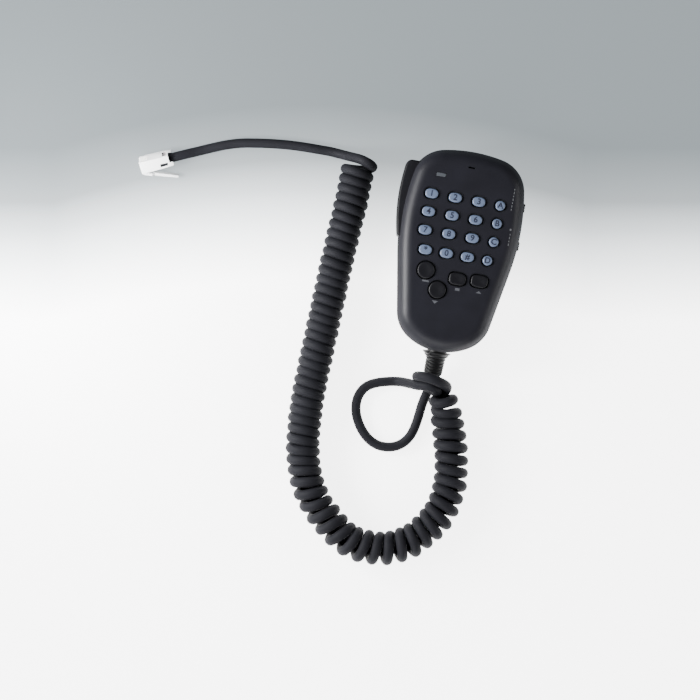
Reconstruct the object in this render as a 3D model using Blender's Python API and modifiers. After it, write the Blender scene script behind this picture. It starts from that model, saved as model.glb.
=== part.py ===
"""Hand microphone with a sixteen-key pad, push-to-talk lever, curly cord and modular plug.

Frame: +Z out of the keypad face, +Y towards the head, +X to the right as the keypad is read.
The origin is the centre of the hanger button's flat face, which rests on the table at z = 0.
"""
import math

import bmesh
import bpy
from mathutils import Matrix, Vector

MM = 0.001
GAP = 0.3 * MM                      # clearance between solids that touch on the real object

# Body outline, seen from the front: arcs that meet tangentially, and one straight taper.
HEAD_Y = 48.0 * MM
HEAD_RADIUS = 78.0 * MM
HEAD_CORNER_RADIUS = 18.0 * MM
SIDE_X = 31.65 * MM
SIDE_RADIUS = 118.0 * MM
SIDE_Y = 10.5 * MM
TAPER = math.radians(9.9)
FOOT_Y = -57.4 * MM
FOOT_RADIUS = 30.3 * MM
FOOT_CORNER_RADIUS = 18.0 * MM

# Body section.
FACE_Z = 30.0 * MM
SHOULDER_Z = 22.2 * MM
SHOULDER_INSET = 7.8 * MM
PARTING_Z = 17.5 * MM
BACK_Z = 5.5 * MM
BACK_EDGE_Z = 11.5 * MM
BACK_INSET = 6.3 * MM
DRAFT = 0.25 * MM
WALL = 2.0 * MM

# Keypad.
KEY_TOP_Z = 31.0 * MM
KEY_FLANGE_TOP_Z = 27.6 * MM
KEY_FLANGE_BOTTOM_Z = 26.2 * MM
KEY_FLANGE = 0.7 * MM
KEY_GAP = 0.4 * MM
KEY_SIZE = (6.6 * MM, 4.8 * MM)
ROUND_KEY_SIZE = (4.9 * MM, 4.9 * MM)
ROW_Y = (22.1 * MM, 12.7 * MM, 3.1 * MM, -6.9 * MM)
COLUMN_X = (-17.9 * MM, -5.6 * MM, 6.7 * MM, 17.9 * MM)
LAST_ROW_X = (-16.0 * MM, -5.0 * MM, 6.0 * MM, 16.4 * MM)
KEY_NAMES = ("1", "2", "3", "a", "4", "5", "6", "b", "7", "8", "9", "c", "star", "0", "hash", "d")
FUNCTION_KEYS = (                    # name, centre x, centre y, width, height, squareness
    ("key_f1", -13.8 * MM, -17.2 * MM, 8.8 * MM, 8.8 * MM, 2.0),
    ("key_f2", -6.3 * MM, -26.2 * MM, 8.8 * MM, 8.8 * MM, 2.0),
    ("key_f3", 2.9 * MM, -18.9 * MM, 8.7 * MM, 6.4 * MM, 3.0),
    ("key_f4", 14.2 * MM, -18.1 * MM, 8.7 * MM, 6.4 * MM, 3.0),
)

# Push-to-talk lever on the left side, hinged at its lower end.
PTT_REACH_X = -34.6 * MM
PTT_ARC_RADIUS = 98.0 * MM
PTT_ARC_Y = 22.0 * MM
PTT_LOW_Y = -1.9 * MM
PTT_TOP_Y = 38.2 * MM
PTT_CORNER = 4.6 * MM
PTT_INNER_X = -28.6 * MM
PTT_TOP_INNER_X = -25.8 * MM        # its head reaches further in, under the head's corner
PTT_TOP_INNER_Y = 30.0 * MM
PTT_SWING_ROOM = 2.3 * MM           # room inside the lever for its travel
PTT_Z = (10.5 * MM, 25.0 * MM)
PTT_PIVOT = (-26.0 * MM, 1.5 * MM)
PTT_LUG_RADIUS = 2.8 * MM
PTT_PIN_RADIUS = 1.0 * MM
PTT_NOSE_X = -24.3 * MM
PTT_NOSE_Y = 24.0 * MM
PTT_SWITCH_Z = 18.3 * MM

# Slide switches on the right side.
SWITCH_TRAVEL = 2.5 * MM
SWITCH_Z = PARTING_Z
KNOB_PROUD = 0.8 * MM
SWITCHES = (("lamp", 24.1 * MM), ("lock", 4.1 * MM))
KNOB_HALF_LENGTH = 2.3 * MM
KNOB_HALF_HEIGHT = 1.2 * MM

# Inside.
BOARD_Z = (21.5 * MM, 23.1 * MM)
MAT_Z = (23.4 * MM, 24.9 * MM)
CAPSULE_XY = (0.0, 36.2 * MM)
CAPSULE_RADIUS = 4.85 * MM
SLOT_XY = (0.0, 38.7 * MM)
SLOT_SIZE = (3.4 * MM, 0.9 * MM)
WINDOW_XY = (-14.8 * MM, 32.5 * MM)
WINDOW_SIZE = (5.2 * MM, 2.1 * MM)
COVER_SCREWS = ((-19.6 * MM, 37.0 * MM), (19.6 * MM, 37.0 * MM),
                (-13.5 * MM, -41.0 * MM), (13.5 * MM, -41.0 * MM))
SCREW_RADIUS = 1.4 * MM
SCREW_HEAD_RADIUS = 2.6 * MM
SCREW_HEAD_BOTTOM_Z = 9.7 * MM      # floor of the counterbores in the rear cover
FRONT_BOSS_RADIUS = 2.8 * MM
REAR_BOSS_RADIUS = 3.9 * MM
LUG_BOSS_RADIUS = 2.2 * MM
CLAMP_SCREWS = ((-6.4 * MM, -45.0 * MM), (6.4 * MM, -45.0 * MM))
CLAMP_BOSS_RADIUS = 2.4 * MM
CLAMP_HOLE_RADIUS = 1.3 * MM
HANGER_HOLE_RADIUS = 2.9 * MM
FACE_CUT_Z = (26.0 * MM, 32.0 * MM)     # clear through the keypad face
BOARD_LOW = (-22.4 * MM, -36.5 * MM)
BOARD_HIGH = (27.0 * MM, 33.6 * MM)
KEYPAD_MAT_LOW = (-22.4 * MM, -32.0 * MM)
KEYPAD_MAT_HIGH = (22.6 * MM, 27.0 * MM)
BOARD_CUT_Z = (19.0 * MM, 26.0 * MM)

# Cord: routes in millimetres.
CORD_RADIUS = 2.5 * MM
COIL_RADIUS = 9.2 * MM
EXIT_Z = 13.5 * MM
BOOT_RADIUS = 5.3 * MM
BOOT_FLANGE = 0.4 * MM
BOOT_COLLAR = 1.7 * MM
BOOT_TAPER = 0.35 * MM
BOOT_RIB = 0.6 * MM
BOOT_RIB_PITCH = 1.7 * MM
BOOT_ROUTE = ((0, -49.8, 13.5), (0, -53.5, 13.5), (0, -57.5, 13.4), (0.1, -60, 12.9),
              (0.1, -62.5, 12.0), (0.1, -65.8, 9.9), (0.2, -68.8, 7.4))
LEAD_MIC_ROUTE = ((0.25, -69.2, 7.0), (0.3, -71.2, 4.9), (0.3, -73.6, 3.3), (0, -76.7, 2.65),
                  (-1, -80.9, 2.6), (-2.2, -86.5, 2.6), (-2.9, -93.1, 2.6), (-3.9, -99.2, 2.6),
                  (-5, -103.2, 2.6), (-8, -107.5, 2.6), (-11.3, -110.2, 2.6), (-16.4, -111.7, 2.6),
                  (-21.6, -111.6, 2.6), (-27.1, -109.1, 2.6), (-32.1, -104.3, 2.6), (-35.4, -97.4, 2.6),
                  (-36.6, -92, 2.6), (-35.6, -86.1, 2.6), (-32.6, -81.8, 2.6), (-28.2, -79.3, 2.6),
                  (-22.1, -77.5, 2.7), (-18, -76.6, 3.1), (-15.1, -76.2, 4.3), (-12.3, -75.9, 6.5),
                  (-9.5, -75.6, 9.5), (-7.2, -75.5, 12.4))
COIL_ROUTE = ((2.5, -76.5, 17.0), (5.0, -79.8, 16.4), (7.3, -83, 14.2), (9.6, -86.8, 11.9),
              (11.3, -90.8, 10.2), (12.7, -95, 9.3), (14.6, -100, 9.3), (16.5, -105.9, 9.3),
              (18.1, -113.1, 9.3), (19.4, -123, 9.3), (19.2, -129, 9.3), (18.1, -136.1, 9.3),
              (16.3, -142.3, 9.3), (13.1, -147.7, 9.3), (9.2, -152.9, 9.3), (4.8, -157.5, 9.3),
              (-0.4, -161, 9.3), (-6.6, -163.7, 9.3), (-13.4, -164.9, 9.3), (-20.9, -164.8, 9.3),
              (-27.7, -163.4, 9.3), (-33.1, -160.4, 9.3), (-37.9, -156.8, 9.3), (-42.9, -152.5, 9.3),
              (-47, -148.5, 9.3), (-50.6, -143.8, 9.3), (-53.8, -138.8, 9.3), (-56.3, -133.3, 9.3),
              (-58.3, -127.3, 9.3), (-60.8, -115.9, 9.3), (-62.3, -93.8, 9.3), (-61.8, -71.1, 9.3),
              (-61.0, -48.3, 9.3), (-60.3, -25.8, 9.3), (-59.1, -3, 9.3), (-58.2, 12.5, 9.3),
              (-57.9, 27.5, 9.3))
LEAD_PLUG_ROUTE = ((-50.5, 31.2, 10.4), (-51.6, 32.6, 11.8), (-54, 33.7, 11.6), (-57.7, 34.8, 9.3),
                   (-62.6, 35.8, 6), (-68.7, 36.6, 3.4), (-74.2, 37, 2.7), (-79, 37, 2.6),
                   (-87.6, 36.9, 2.6), (-96.2, 36.5, 2.6), (-105.2, 35.6, 2.6), (-114.1, 34.3, 2.6),
                   (-121.9, 32.8, 2.6), (-129.3, 30.5, 2.6), (-136.1, 27.7, 2.65), (-142, 25.0, 3.2),
                   (-148.5, 21.9, 5.1), (-154.9, 18.8, 6.65))

# Modular plug, lying rolled on the table with its latch towards the user.
PLUG_REAR = (-155.3 * MM, 18.6 * MM, 6.7 * MM)
PLUG_HEADING = math.radians(204.7)
PLUG_ROLL = math.radians(28.0)
PLUG_LENGTH = 17.5 * MM
PLUG_WIDTH = 9.65 * MM
PLUG_HEIGHT = 6.6 * MM
LATCH_SPLAY = math.radians(22.0)
LATCH_LENGTH = 18.0 * MM

PARTS = "hand_microphone"
CUTTERS = "cutters"


# ---------------------------------------------------------------- scene and materials

def clear_scene():
    for obj in list(bpy.data.objects):
        bpy.data.objects.remove(obj, do_unlink=True)


def collection(name):
    found = bpy.data.collections.get(name)
    if found is None:
        found = bpy.data.collections.new(name)
        bpy.context.scene.collection.children.link(found)
    return found


def material(name, color, roughness=0.5, metallic=0.0):
    mat = bpy.data.materials.get(name)
    if mat is None:
        mat = bpy.data.materials.new(name)
        mat.use_nodes = True
        shader = mat.node_tree.nodes["Principled BSDF"]
        shader.inputs["Base Color"].default_value = (*color, 1.0)
        shader.inputs["Roughness"].default_value = roughness
        shader.inputs["Metallic"].default_value = metallic
    return mat


def body_plastic():
    return material("charcoal_plastic", (0.028, 0.028, 0.036), 0.5)


def black_plastic():
    return material("black_plastic", (0.012, 0.012, 0.014), 0.45)


def key_plastic():
    return material("pale_key_plastic", (0.55, 0.57, 0.68), 0.4)


def function_plastic():
    return material("gloss_black_plastic", (0.01, 0.01, 0.014), 0.25)


def rubber():
    return material("black_rubber", (0.018, 0.018, 0.019), 0.7)


def steel():
    return material("steel", (0.6, 0.6, 0.6), 0.3, 1.0)


def board_green():
    return material("green_board", (0.02, 0.12, 0.06), 0.5)


def clear_plastic():
    return material("clear_plastic", (0.8, 0.82, 0.8), 0.15)


def gold():
    return material("gold_contacts", (0.8, 0.6, 0.25), 0.3, 1.0)


def white_plastic():
    return material("white_plastic", (0.75, 0.75, 0.72), 0.5)


# ---------------------------------------------------------------- mesh helpers

def add_object(name, mesh, mat=None, location=(0, 0, 0), cutter=False):
    obj = bpy.data.objects.new(name, mesh)
    obj.location = location
    if mat is not None:
        mesh.materials.append(mat)
    collection(CUTTERS if cutter else PARTS).objects.link(obj)
    if cutter:
        obj.hide_render = True
        obj.display_type = "WIRE"
    return obj


def mesh_from(bm, name):
    bmesh.ops.recalc_face_normals(bm, faces=bm.faces)
    mesh = bpy.data.meshes.new(name)
    bm.to_mesh(mesh)
    bm.free()
    mesh.shade_smooth()
    mesh.set_sharp_from_angle(angle=math.radians(35))
    return mesh


def add_loft(bm, rings, cap_first=True, cap_last=True):
    """Join rings of equal length with quads, and close the ends asked for."""
    rows = [[bm.verts.new(point) for point in ring] for ring in rings]
    count = len(rows[0])
    for lower, upper in zip(rows, rows[1:]):
        for i in range(count):
            j = (i + 1) % count
            bm.faces.new((lower[i], lower[j], upper[j], upper[i]))
    if cap_first:
        bm.faces.new(list(reversed(rows[0])))
    if cap_last:
        bm.faces.new(rows[-1])


def add_box(bm, low, high):
    size = Vector(high) - Vector(low)
    centre = (Vector(high) + Vector(low)) / 2
    place = Matrix.Translation(centre) @ Matrix.Diagonal((*size, 1.0))
    bmesh.ops.create_cube(bm, size=1.0, matrix=place)


def add_cylinder(bm, centre, radius, low, high, axis="Z", segments=24):
    """A closed cylinder from low to high along an axis; centre holds the other two coordinates."""
    middle = (low + high) / 2
    place = Matrix.Translation((centre[0], centre[1], middle))
    if axis == "X":
        place = Matrix.Translation((middle, centre[0], centre[1])) @ Matrix.Rotation(math.pi / 2, 4, "Y")
    if axis == "Y":
        place = Matrix.Translation((centre[0], middle, centre[1])) @ Matrix.Rotation(math.pi / 2, 4, "X")
    bmesh.ops.create_cone(bm, cap_ends=True, segments=segments, radius1=radius, radius2=radius,
                          depth=high - low, matrix=place)


def box_object(name, low, high, mat):
    centre = (Vector(low) + Vector(high)) / 2
    bm = bmesh.new()
    add_box(bm, Vector(low) - centre, Vector(high) - centre)
    return add_object(name, mesh_from(bm, name), mat, centre)


def add_bevel(obj, width):
    mod = obj.modifiers.new("bevel", "BEVEL")
    mod.width = width
    mod.segments = 1
    mod.limit_method = "ANGLE"
    mod.angle_limit = math.radians(40)


def cutter_object(name, bm):
    return add_object(name, mesh_from(bm, name), cutter=True)


def add_boolean(obj, cutter, operation="DIFFERENCE"):
    mod = obj.modifiers.new(operation.lower(), "BOOLEAN")
    mod.operation = operation
    mod.solver = "EXACT"
    mod.object = cutter


def turned(name, profile, mat, location, steps=24):
    """A turned piece: profile points are (radius, height), down the outer side, from axis to axis."""
    bm = bmesh.new()
    verts = [bm.verts.new((radius, 0, height)) for radius, height in profile]
    for first, second in zip(verts, verts[1:]):
        bm.edges.new((first, second))
    mesh = bpy.data.meshes.new(name)
    bm.to_mesh(mesh)
    bm.free()
    obj = add_object(name, mesh, mat, location)
    mod = obj.modifiers.new("turn", "SCREW")
    mod.steps = steps
    mod.render_steps = steps
    mod.use_merge_vertices = True
    mod.merge_threshold = 0.00001
    mod.use_smooth_shade = True
    return obj


# ---------------------------------------------------------------- curves

def arc(centre, radius, start, end, steps):
    """Points on an arc, both ends included."""
    points = []
    for i in range(steps + 1):
        angle = start + (end - start) * i / steps
        points.append((centre[0] + radius * math.cos(angle), centre[1] + radius * math.sin(angle)))
    return points


def tangent_centre(centre_a, radius_a, centre_b, radius_b, radius):
    """Centre of the arc of the given radius that blends two larger arcs from inside."""
    reach_a = radius_a - radius
    reach_b = radius_b - radius
    delta = Vector(centre_b) - Vector(centre_a)
    along = (reach_a ** 2 - reach_b ** 2 + delta.length_squared) / (2 * delta.length)
    across = math.sqrt(reach_a ** 2 - along ** 2)
    unit = delta.normalized()
    normal = Vector((-unit.y, unit.x))
    options = [Vector(centre_a) + unit * along + normal * across * sign for sign in (1, -1)]
    return max(options, key=lambda point: point.x)


def foot_corner_centre(side_centre, foot_centre):
    """Centre of the arc that blends the straight taper into the foot arc."""
    normal = Vector((math.cos(TAPER), -math.sin(TAPER)))
    down = Vector((-math.sin(TAPER), -math.cos(TAPER)))
    start = side_centre + normal * (SIDE_RADIUS - FOOT_CORNER_RADIUS)
    offset = start - foot_centre
    half = offset.dot(down)
    rest = offset.length_squared - (FOOT_RADIUS - FOOT_CORNER_RADIUS) ** 2
    return start + down * (-half + math.sqrt(half ** 2 - rest))


def outline(inset=0.0):
    """The body outline as (x, y) points, anticlockwise, moved inwards by inset."""
    head = Vector((0, HEAD_Y - HEAD_RADIUS))
    side = Vector((SIDE_X - SIDE_RADIUS, SIDE_Y))
    foot = Vector((0, FOOT_Y + FOOT_RADIUS))
    corner = tangent_centre(head, HEAD_RADIUS, side, SIDE_RADIUS, HEAD_CORNER_RADIUS)
    foot_corner = foot_corner_centre(side, foot)
    head_angle = math.atan2(corner.y - head.y, corner.x - head.x)
    side_angle = math.atan2(corner.y - side.y, corner.x - side.x)
    foot_angle = math.atan2(foot_corner.y - foot.y, foot_corner.x - foot.x)
    right = arc(foot, FOOT_RADIUS - inset, -math.pi / 2, foot_angle, 4)
    right += arc(foot_corner, FOOT_CORNER_RADIUS - inset, foot_angle, -TAPER, 6)[1:]
    right += arc(side, SIDE_RADIUS - inset, -TAPER, side_angle, 4)
    right += arc(corner, HEAD_CORNER_RADIUS - inset, side_angle, head_angle, 6)[1:]
    right += arc(head, HEAD_RADIUS - inset, head_angle, math.pi / 2, 3)[1:]
    left = [(-x, y) for x, y in reversed(right[1:-1])]
    return right + left


def half_width(y):
    """Half-width of the body at a height y between the taper and the head corner."""
    return SIDE_X - SIDE_RADIUS + math.sqrt(SIDE_RADIUS ** 2 - (y - SIDE_Y) ** 2)


def rounded_oval(width, height, squareness, grow=0.0, count=20):
    """Points of a superellipse, grown outwards by grow."""
    points = []
    for i in range(count):
        angle = 2 * math.pi * i / count
        cos = math.cos(angle)
        sin = math.sin(angle)
        x = math.copysign(abs(cos) ** (2 / squareness), cos) * (width / 2 + grow)
        y = math.copysign(abs(sin) ** (2 / squareness), sin) * (height / 2 + grow)
        points.append((x, y))
    return points


def smooth_route(route, spacing):
    """Evenly spaced points, in metres, on a smooth curve through a route given in millimetres."""
    knots = [Vector(point) * MM for point in route]
    fine = []
    for i in range(len(knots) - 1):
        before = knots[max(i - 1, 0)]
        start = knots[i]
        end = knots[i + 1]
        after = knots[min(i + 2, len(knots) - 1)]
        for step in range(12):
            t = step / 12
            point = 2 * start + (end - before) * t
            point = point + (2 * before - 5 * start + 4 * end - after) * t ** 2
            point = point + (3 * start - before - 3 * end + after) * t ** 3
            fine.append(point / 2)
    fine.append(knots[-1])
    lengths = [0.0]
    for first, second in zip(fine, fine[1:]):
        lengths.append(lengths[-1] + (second - first).length)
    count = max(2, round(lengths[-1] / spacing))
    points = []
    for k in range(count + 1):
        target = lengths[-1] * k / count
        i = min(max(j for j, value in enumerate(lengths) if value <= target + 1e-12), len(fine) - 2)
        part = (target - lengths[i]) / (lengths[i + 1] - lengths[i])
        points.append(fine[i].lerp(fine[i + 1], part))
    return points


def tube(name, points, radii, mat, resolution=2):
    """A tube along points; radii is one radius, or a list with one for each point."""
    curve = bpy.data.curves.new(name, "CURVE")
    curve.dimensions = "3D"
    curve.bevel_depth = 1.0
    curve.bevel_resolution = resolution
    curve.use_fill_caps = True
    spline = curve.splines.new("POLY")
    spline.points.add(len(points) - 1)
    for i, point in enumerate(points):
        spline.points[i].co = (*point, 1.0)
        spline.points[i].radius = radii[i] if isinstance(radii, list) else radii
    curve.materials.append(mat)
    obj = bpy.data.objects.new(name, curve)
    collection(PARTS).objects.link(obj)
    return obj


# ---------------------------------------------------------------- covers

def quarter(inset_from, inset_to, z_from, z_to, steps):
    """Rounded edge of a cover: (inset, z) pairs on a quarter ellipse."""
    pairs = []
    for i in range(1, steps + 1):
        angle = math.pi / 2 * i / steps
        inset = inset_from + (inset_to - inset_from) * (1 - math.cos(angle))
        pairs.append((inset, z_from + (z_to - z_from) * math.sin(angle)))
    return pairs


def cover_shell(name, levels):
    """An open dished surface through the body outline at (inset, z) levels, given thickness."""
    bm = bmesh.new()
    rings = [[(x, y, z) for x, y in outline(inset)] for inset, z in levels]
    add_loft(bm, rings, cap_first=False, cap_last=True)
    upwards = levels[-1][1] > levels[0][1]
    mesh = bpy.data.meshes.new(name)
    if not upwards:
        bmesh.ops.reverse_faces(bm, faces=bm.faces)
    bm.to_mesh(mesh)
    bm.free()
    mesh.shade_smooth()
    mesh.set_sharp_from_angle(angle=math.radians(35))
    obj = add_object(name, mesh, body_plastic())
    mod = obj.modifiers.new("wall", "SOLIDIFY")
    mod.thickness = WALL
    mod.offset = -1
    mod.use_even_offset = True
    return obj


def add_key_hole(bm, x, y, width, height, squareness):
    rings = []
    for z in (FACE_Z - 4 * MM, FACE_Z + 2 * MM):
        points = rounded_oval(width, height, squareness, KEY_GAP)
        rings.append([(x + px, y + py, z) for px, py in points])
    add_loft(bm, rings)


def key_places():
    """Name, centre and size of each of the sixteen keypad keys."""
    places = []
    for i, label in enumerate(KEY_NAMES):
        row = i // 4
        column = i % 4
        x = LAST_ROW_X[column] if row == 3 else COLUMN_X[column]
        size = ROUND_KEY_SIZE if column == 3 else KEY_SIZE
        squareness = 2.0 if column == 3 else 2.5
        places.append(("key_" + label, x, ROW_Y[row], size[0], size[1], squareness))
    return places


def add_side_openings(bm):
    """Openings that both covers share: the lever's, the two switches' and the cord's."""
    outside = -40 * MM
    low = PTT_LOW_Y - 0.4 * MM
    high = PTT_TOP_Y + 0.6 * MM
    inner = PTT_INNER_X + PTT_SWING_ROOM
    top_inner = PTT_TOP_INNER_X + PTT_SWING_ROOM
    opening = ((outside, low), (inner + 0.8 * MM, low), (inner + 0.8 * MM, PTT_TOP_INNER_Y - 0.5 * MM),
               (top_inner, PTT_TOP_INNER_Y - 0.5 * MM), (top_inner, high), (outside, high))
    add_loft(bm, [[(x, y, z) for x, y in opening] for z in (PTT_Z[0] - 0.4 * MM, PTT_Z[1] + 0.4 * MM)])
    for _, y in SWITCHES:
        side = KNOB_HALF_LENGTH + 0.35 * MM
        rise = KNOB_HALF_HEIGHT + 0.35 * MM
        add_box(bm, (27 * MM, y - side, SWITCH_Z - rise), (34 * MM, y + side + SWITCH_TRAVEL, SWITCH_Z + rise))
    add_cylinder(bm, (0, EXIT_Z), BOOT_RADIUS + GAP, -62 * MM, -46 * MM, axis="Y", segments=32)


def make_front_cover():
    levels = [(0.0, PARTING_Z + GAP / 2), (DRAFT, SHOULDER_Z)]
    levels += quarter(DRAFT, SHOULDER_INSET, SHOULDER_Z, FACE_Z, 6)
    obj = cover_shell("front_cover", levels)
    bosses = bmesh.new()
    for x, y in COVER_SCREWS:
        add_cylinder(bosses, (x, y), FRONT_BOSS_RADIUS, PARTING_Z + 0.4 * MM, FACE_Z - 1 * MM)
    add_cylinder(bosses, PTT_PIVOT, LUG_BOSS_RADIUS, PTT_Z[1] + 0.6 * MM, 28.3 * MM)
    add_boolean(obj, cutter_object("front_bosses", bosses), "UNION")
    holes = bmesh.new()
    for _, x, y, width, height, squareness in key_places() + list(FUNCTION_KEYS):
        add_key_hole(holes, x, y, width, height, squareness)
    half = (WINDOW_SIZE[0] / 2, WINDOW_SIZE[1] / 2)
    add_box(holes, (WINDOW_XY[0] - half[0], WINDOW_XY[1] - half[1], FACE_CUT_Z[0]),
            (WINDOW_XY[0] + half[0], WINDOW_XY[1] + half[1], FACE_CUT_Z[1]))
    half = (SLOT_SIZE[0] / 2, SLOT_SIZE[1] / 2)
    add_box(holes, (SLOT_XY[0] - half[0], SLOT_XY[1] - half[1], FACE_CUT_Z[0]),
            (SLOT_XY[0] + half[0], SLOT_XY[1] + half[1], FACE_CUT_Z[1]))
    for x, y in COVER_SCREWS:
        add_cylinder(holes, (x, y), SCREW_RADIUS + GAP, 16 * MM, 26.2 * MM, segments=16)
    add_cylinder(holes, PTT_PIVOT, PTT_PIN_RADIUS + GAP, 25 * MM, 27.0 * MM, segments=16)
    add_boolean(obj, cutter_object("front_holes", holes))
    sides = bmesh.new()
    add_side_openings(sides)
    add_boolean(obj, cutter_object("front_sides", sides))


def make_rear_cover():
    levels = [(0.0, PARTING_Z - GAP / 2), (DRAFT, BACK_EDGE_Z)]
    levels += quarter(DRAFT, BACK_INSET, BACK_EDGE_Z, BACK_Z, 6)
    obj = cover_shell("rear_cover", levels)
    bosses = bmesh.new()
    for x, y in COVER_SCREWS:
        add_cylinder(bosses, (x, y), REAR_BOSS_RADIUS, 7.2 * MM, 16.0 * MM)
    for x, y in CLAMP_SCREWS:
        add_cylinder(bosses, (x, y), CLAMP_BOSS_RADIUS, 6.5 * MM, 15.8 * MM)
    add_cylinder(bosses, PTT_PIVOT, LUG_BOSS_RADIUS, 7.2 * MM, PTT_Z[0] - 0.6 * MM)
    add_boolean(obj, cutter_object("rear_bosses", bosses), "UNION")
    holes = bmesh.new()
    for x, y in COVER_SCREWS:
        wide = SCREW_HEAD_RADIUS + 0.4 * MM
        narrow = SCREW_RADIUS + GAP
        profile = ((wide, 3 * MM), (wide, SCREW_HEAD_BOTTOM_Z), (narrow, SCREW_HEAD_BOTTOM_Z), (narrow, 18 * MM))
        rings = []
        for radius, z in profile:
            ring = arc((x, y), radius, 0, 2 * math.pi * 19 / 20, 19)
            rings.append([(px, py, z) for px, py in ring])
        add_loft(holes, rings)
    for x, y in CLAMP_SCREWS:
        add_cylinder(holes, (x, y), CLAMP_HOLE_RADIUS, 10 * MM, 17 * MM, segments=16)
    add_cylinder(holes, (0, 0), HANGER_HOLE_RADIUS, 4 * MM, 9 * MM)
    add_cylinder(holes, PTT_PIVOT, PTT_PIN_RADIUS + GAP, 8.2 * MM, 10.2 * MM, segments=16)
    add_boolean(obj, cutter_object("rear_holes", holes))
    sides = bmesh.new()
    add_side_openings(sides)
    add_boolean(obj, cutter_object("rear_sides", sides))


# ---------------------------------------------------------------- keys

def make_key(name, x, y, width, height, squareness, mat):
    """A key with a flange that holds it under the face, and a softly rounded top."""
    levels = ((KEY_FLANGE, KEY_FLANGE_BOTTOM_Z), (KEY_FLANGE, KEY_FLANGE_TOP_Z), (0.0, KEY_FLANGE_TOP_Z),
              (0.0, KEY_TOP_Z - 0.35 * MM), (-0.4 * MM, KEY_TOP_Z))
    rings = []
    for grow, z in levels:
        points = rounded_oval(width, height, squareness, grow)
        rings.append([(px, py, z - KEY_TOP_Z) for px, py in points])
    bm = bmesh.new()
    add_loft(bm, rings)
    add_object(name, mesh_from(bm, name), mat, (x, y, KEY_TOP_Z))


def make_keys():
    for name, x, y, width, height, squareness in key_places():
        make_key(name, x, y, width, height, squareness, key_plastic())
    for name, x, y, width, height, squareness in FUNCTION_KEYS:
        make_key(name, x, y, width, height, squareness, function_plastic())


# ---------------------------------------------------------------- push-to-talk

def ptt_outline():
    """The lever seen from the front, relative to its pivot, anticlockwise."""
    centre = (PTT_REACH_X + PTT_ARC_RADIUS, PTT_ARC_Y)
    corner_low = PTT_TOP_Y - PTT_CORNER

    def outer_x(y):
        return centre[0] - math.sqrt(PTT_ARC_RADIUS ** 2 - (y - centre[1]) ** 2)

    points = [(PTT_TOP_INNER_X, PTT_TOP_Y)]
    corner = (outer_x(corner_low) + PTT_CORNER * 0.75, corner_low)
    for i in range(7):
        angle = math.pi / 2 * (1 + i / 6)
        x = corner[0] + PTT_CORNER * 0.75 * math.cos(angle)
        points.append((x, corner[1] + PTT_CORNER * math.sin(angle)))
    steps = 10
    for i in range(1, steps + 1):
        y = corner_low + (PTT_LOW_Y + 0.8 * MM - corner_low) * i / steps
        points.append((outer_x(y), y))
    points.append((outer_x(PTT_LOW_Y) + 0.7 * MM, PTT_LOW_Y))
    points.append((PTT_INNER_X, PTT_LOW_Y))
    points += arc(PTT_PIVOT, PTT_LUG_RADIUS, -math.pi * 0.75, math.pi * 0.75, 12)
    points.append((PTT_INNER_X, 5.5 * MM))
    points.append((PTT_INNER_X, PTT_NOSE_Y - 2.2 * MM))
    points.append((PTT_NOSE_X, PTT_NOSE_Y - 1.4 * MM))
    points.append((PTT_NOSE_X, PTT_NOSE_Y + 1.4 * MM))
    points.append((PTT_INNER_X, PTT_NOSE_Y + 2.2 * MM))
    points.append((PTT_INNER_X, PTT_TOP_INNER_Y))
    return [(x - PTT_PIVOT[0], y - PTT_PIVOT[1]) for x, y in points]


def make_ptt():
    bm = bmesh.new()
    add_loft(bm, [[(x, y, z) for x, y in ptt_outline()] for z in PTT_Z])
    lever = add_object("ptt_lever", mesh_from(bm, "ptt_lever"), black_plastic(), (*PTT_PIVOT, 0))
    bore = bmesh.new()
    add_cylinder(bore, PTT_PIVOT, PTT_PIN_RADIUS + GAP, 5 * MM, 29 * MM, segments=20)
    add_boolean(lever, cutter_object("lever_bore", bore))
    pin = bmesh.new()
    length = 18.2 * MM
    add_cylinder(pin, (0, 0), PTT_PIN_RADIUS, -length / 2, length / 2, segments=20)
    add_object("ptt_pin", mesh_from(pin, "ptt_pin"), steel(), (*PTT_PIVOT, 8.5 * MM + length / 2))
    switch = box_object("ptt_switch", (-21.8 * MM, PTT_NOSE_Y - 3 * MM, 15.4 * MM),
                        (-15.8 * MM, PTT_NOSE_Y + 3 * MM, BOARD_Z[0] - GAP), black_plastic())
    well = bmesh.new()
    add_cylinder(well, (PTT_NOSE_Y, PTT_SWITCH_Z), 1.5 * MM, -24 * MM, -18.0 * MM, axis="X")
    add_boolean(switch, cutter_object("switch_well", well))
    plunger = bmesh.new()
    add_cylinder(plunger, (0, 0), 1.2 * MM, -2.0 * MM, 2.0 * MM, axis="X", segments=20)
    place = (-22.0 * MM, PTT_NOSE_Y, PTT_SWITCH_Z)
    add_object("ptt_plunger", mesh_from(plunger, "ptt_plunger"), white_plastic(), place)


# ---------------------------------------------------------------- slide switches

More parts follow.
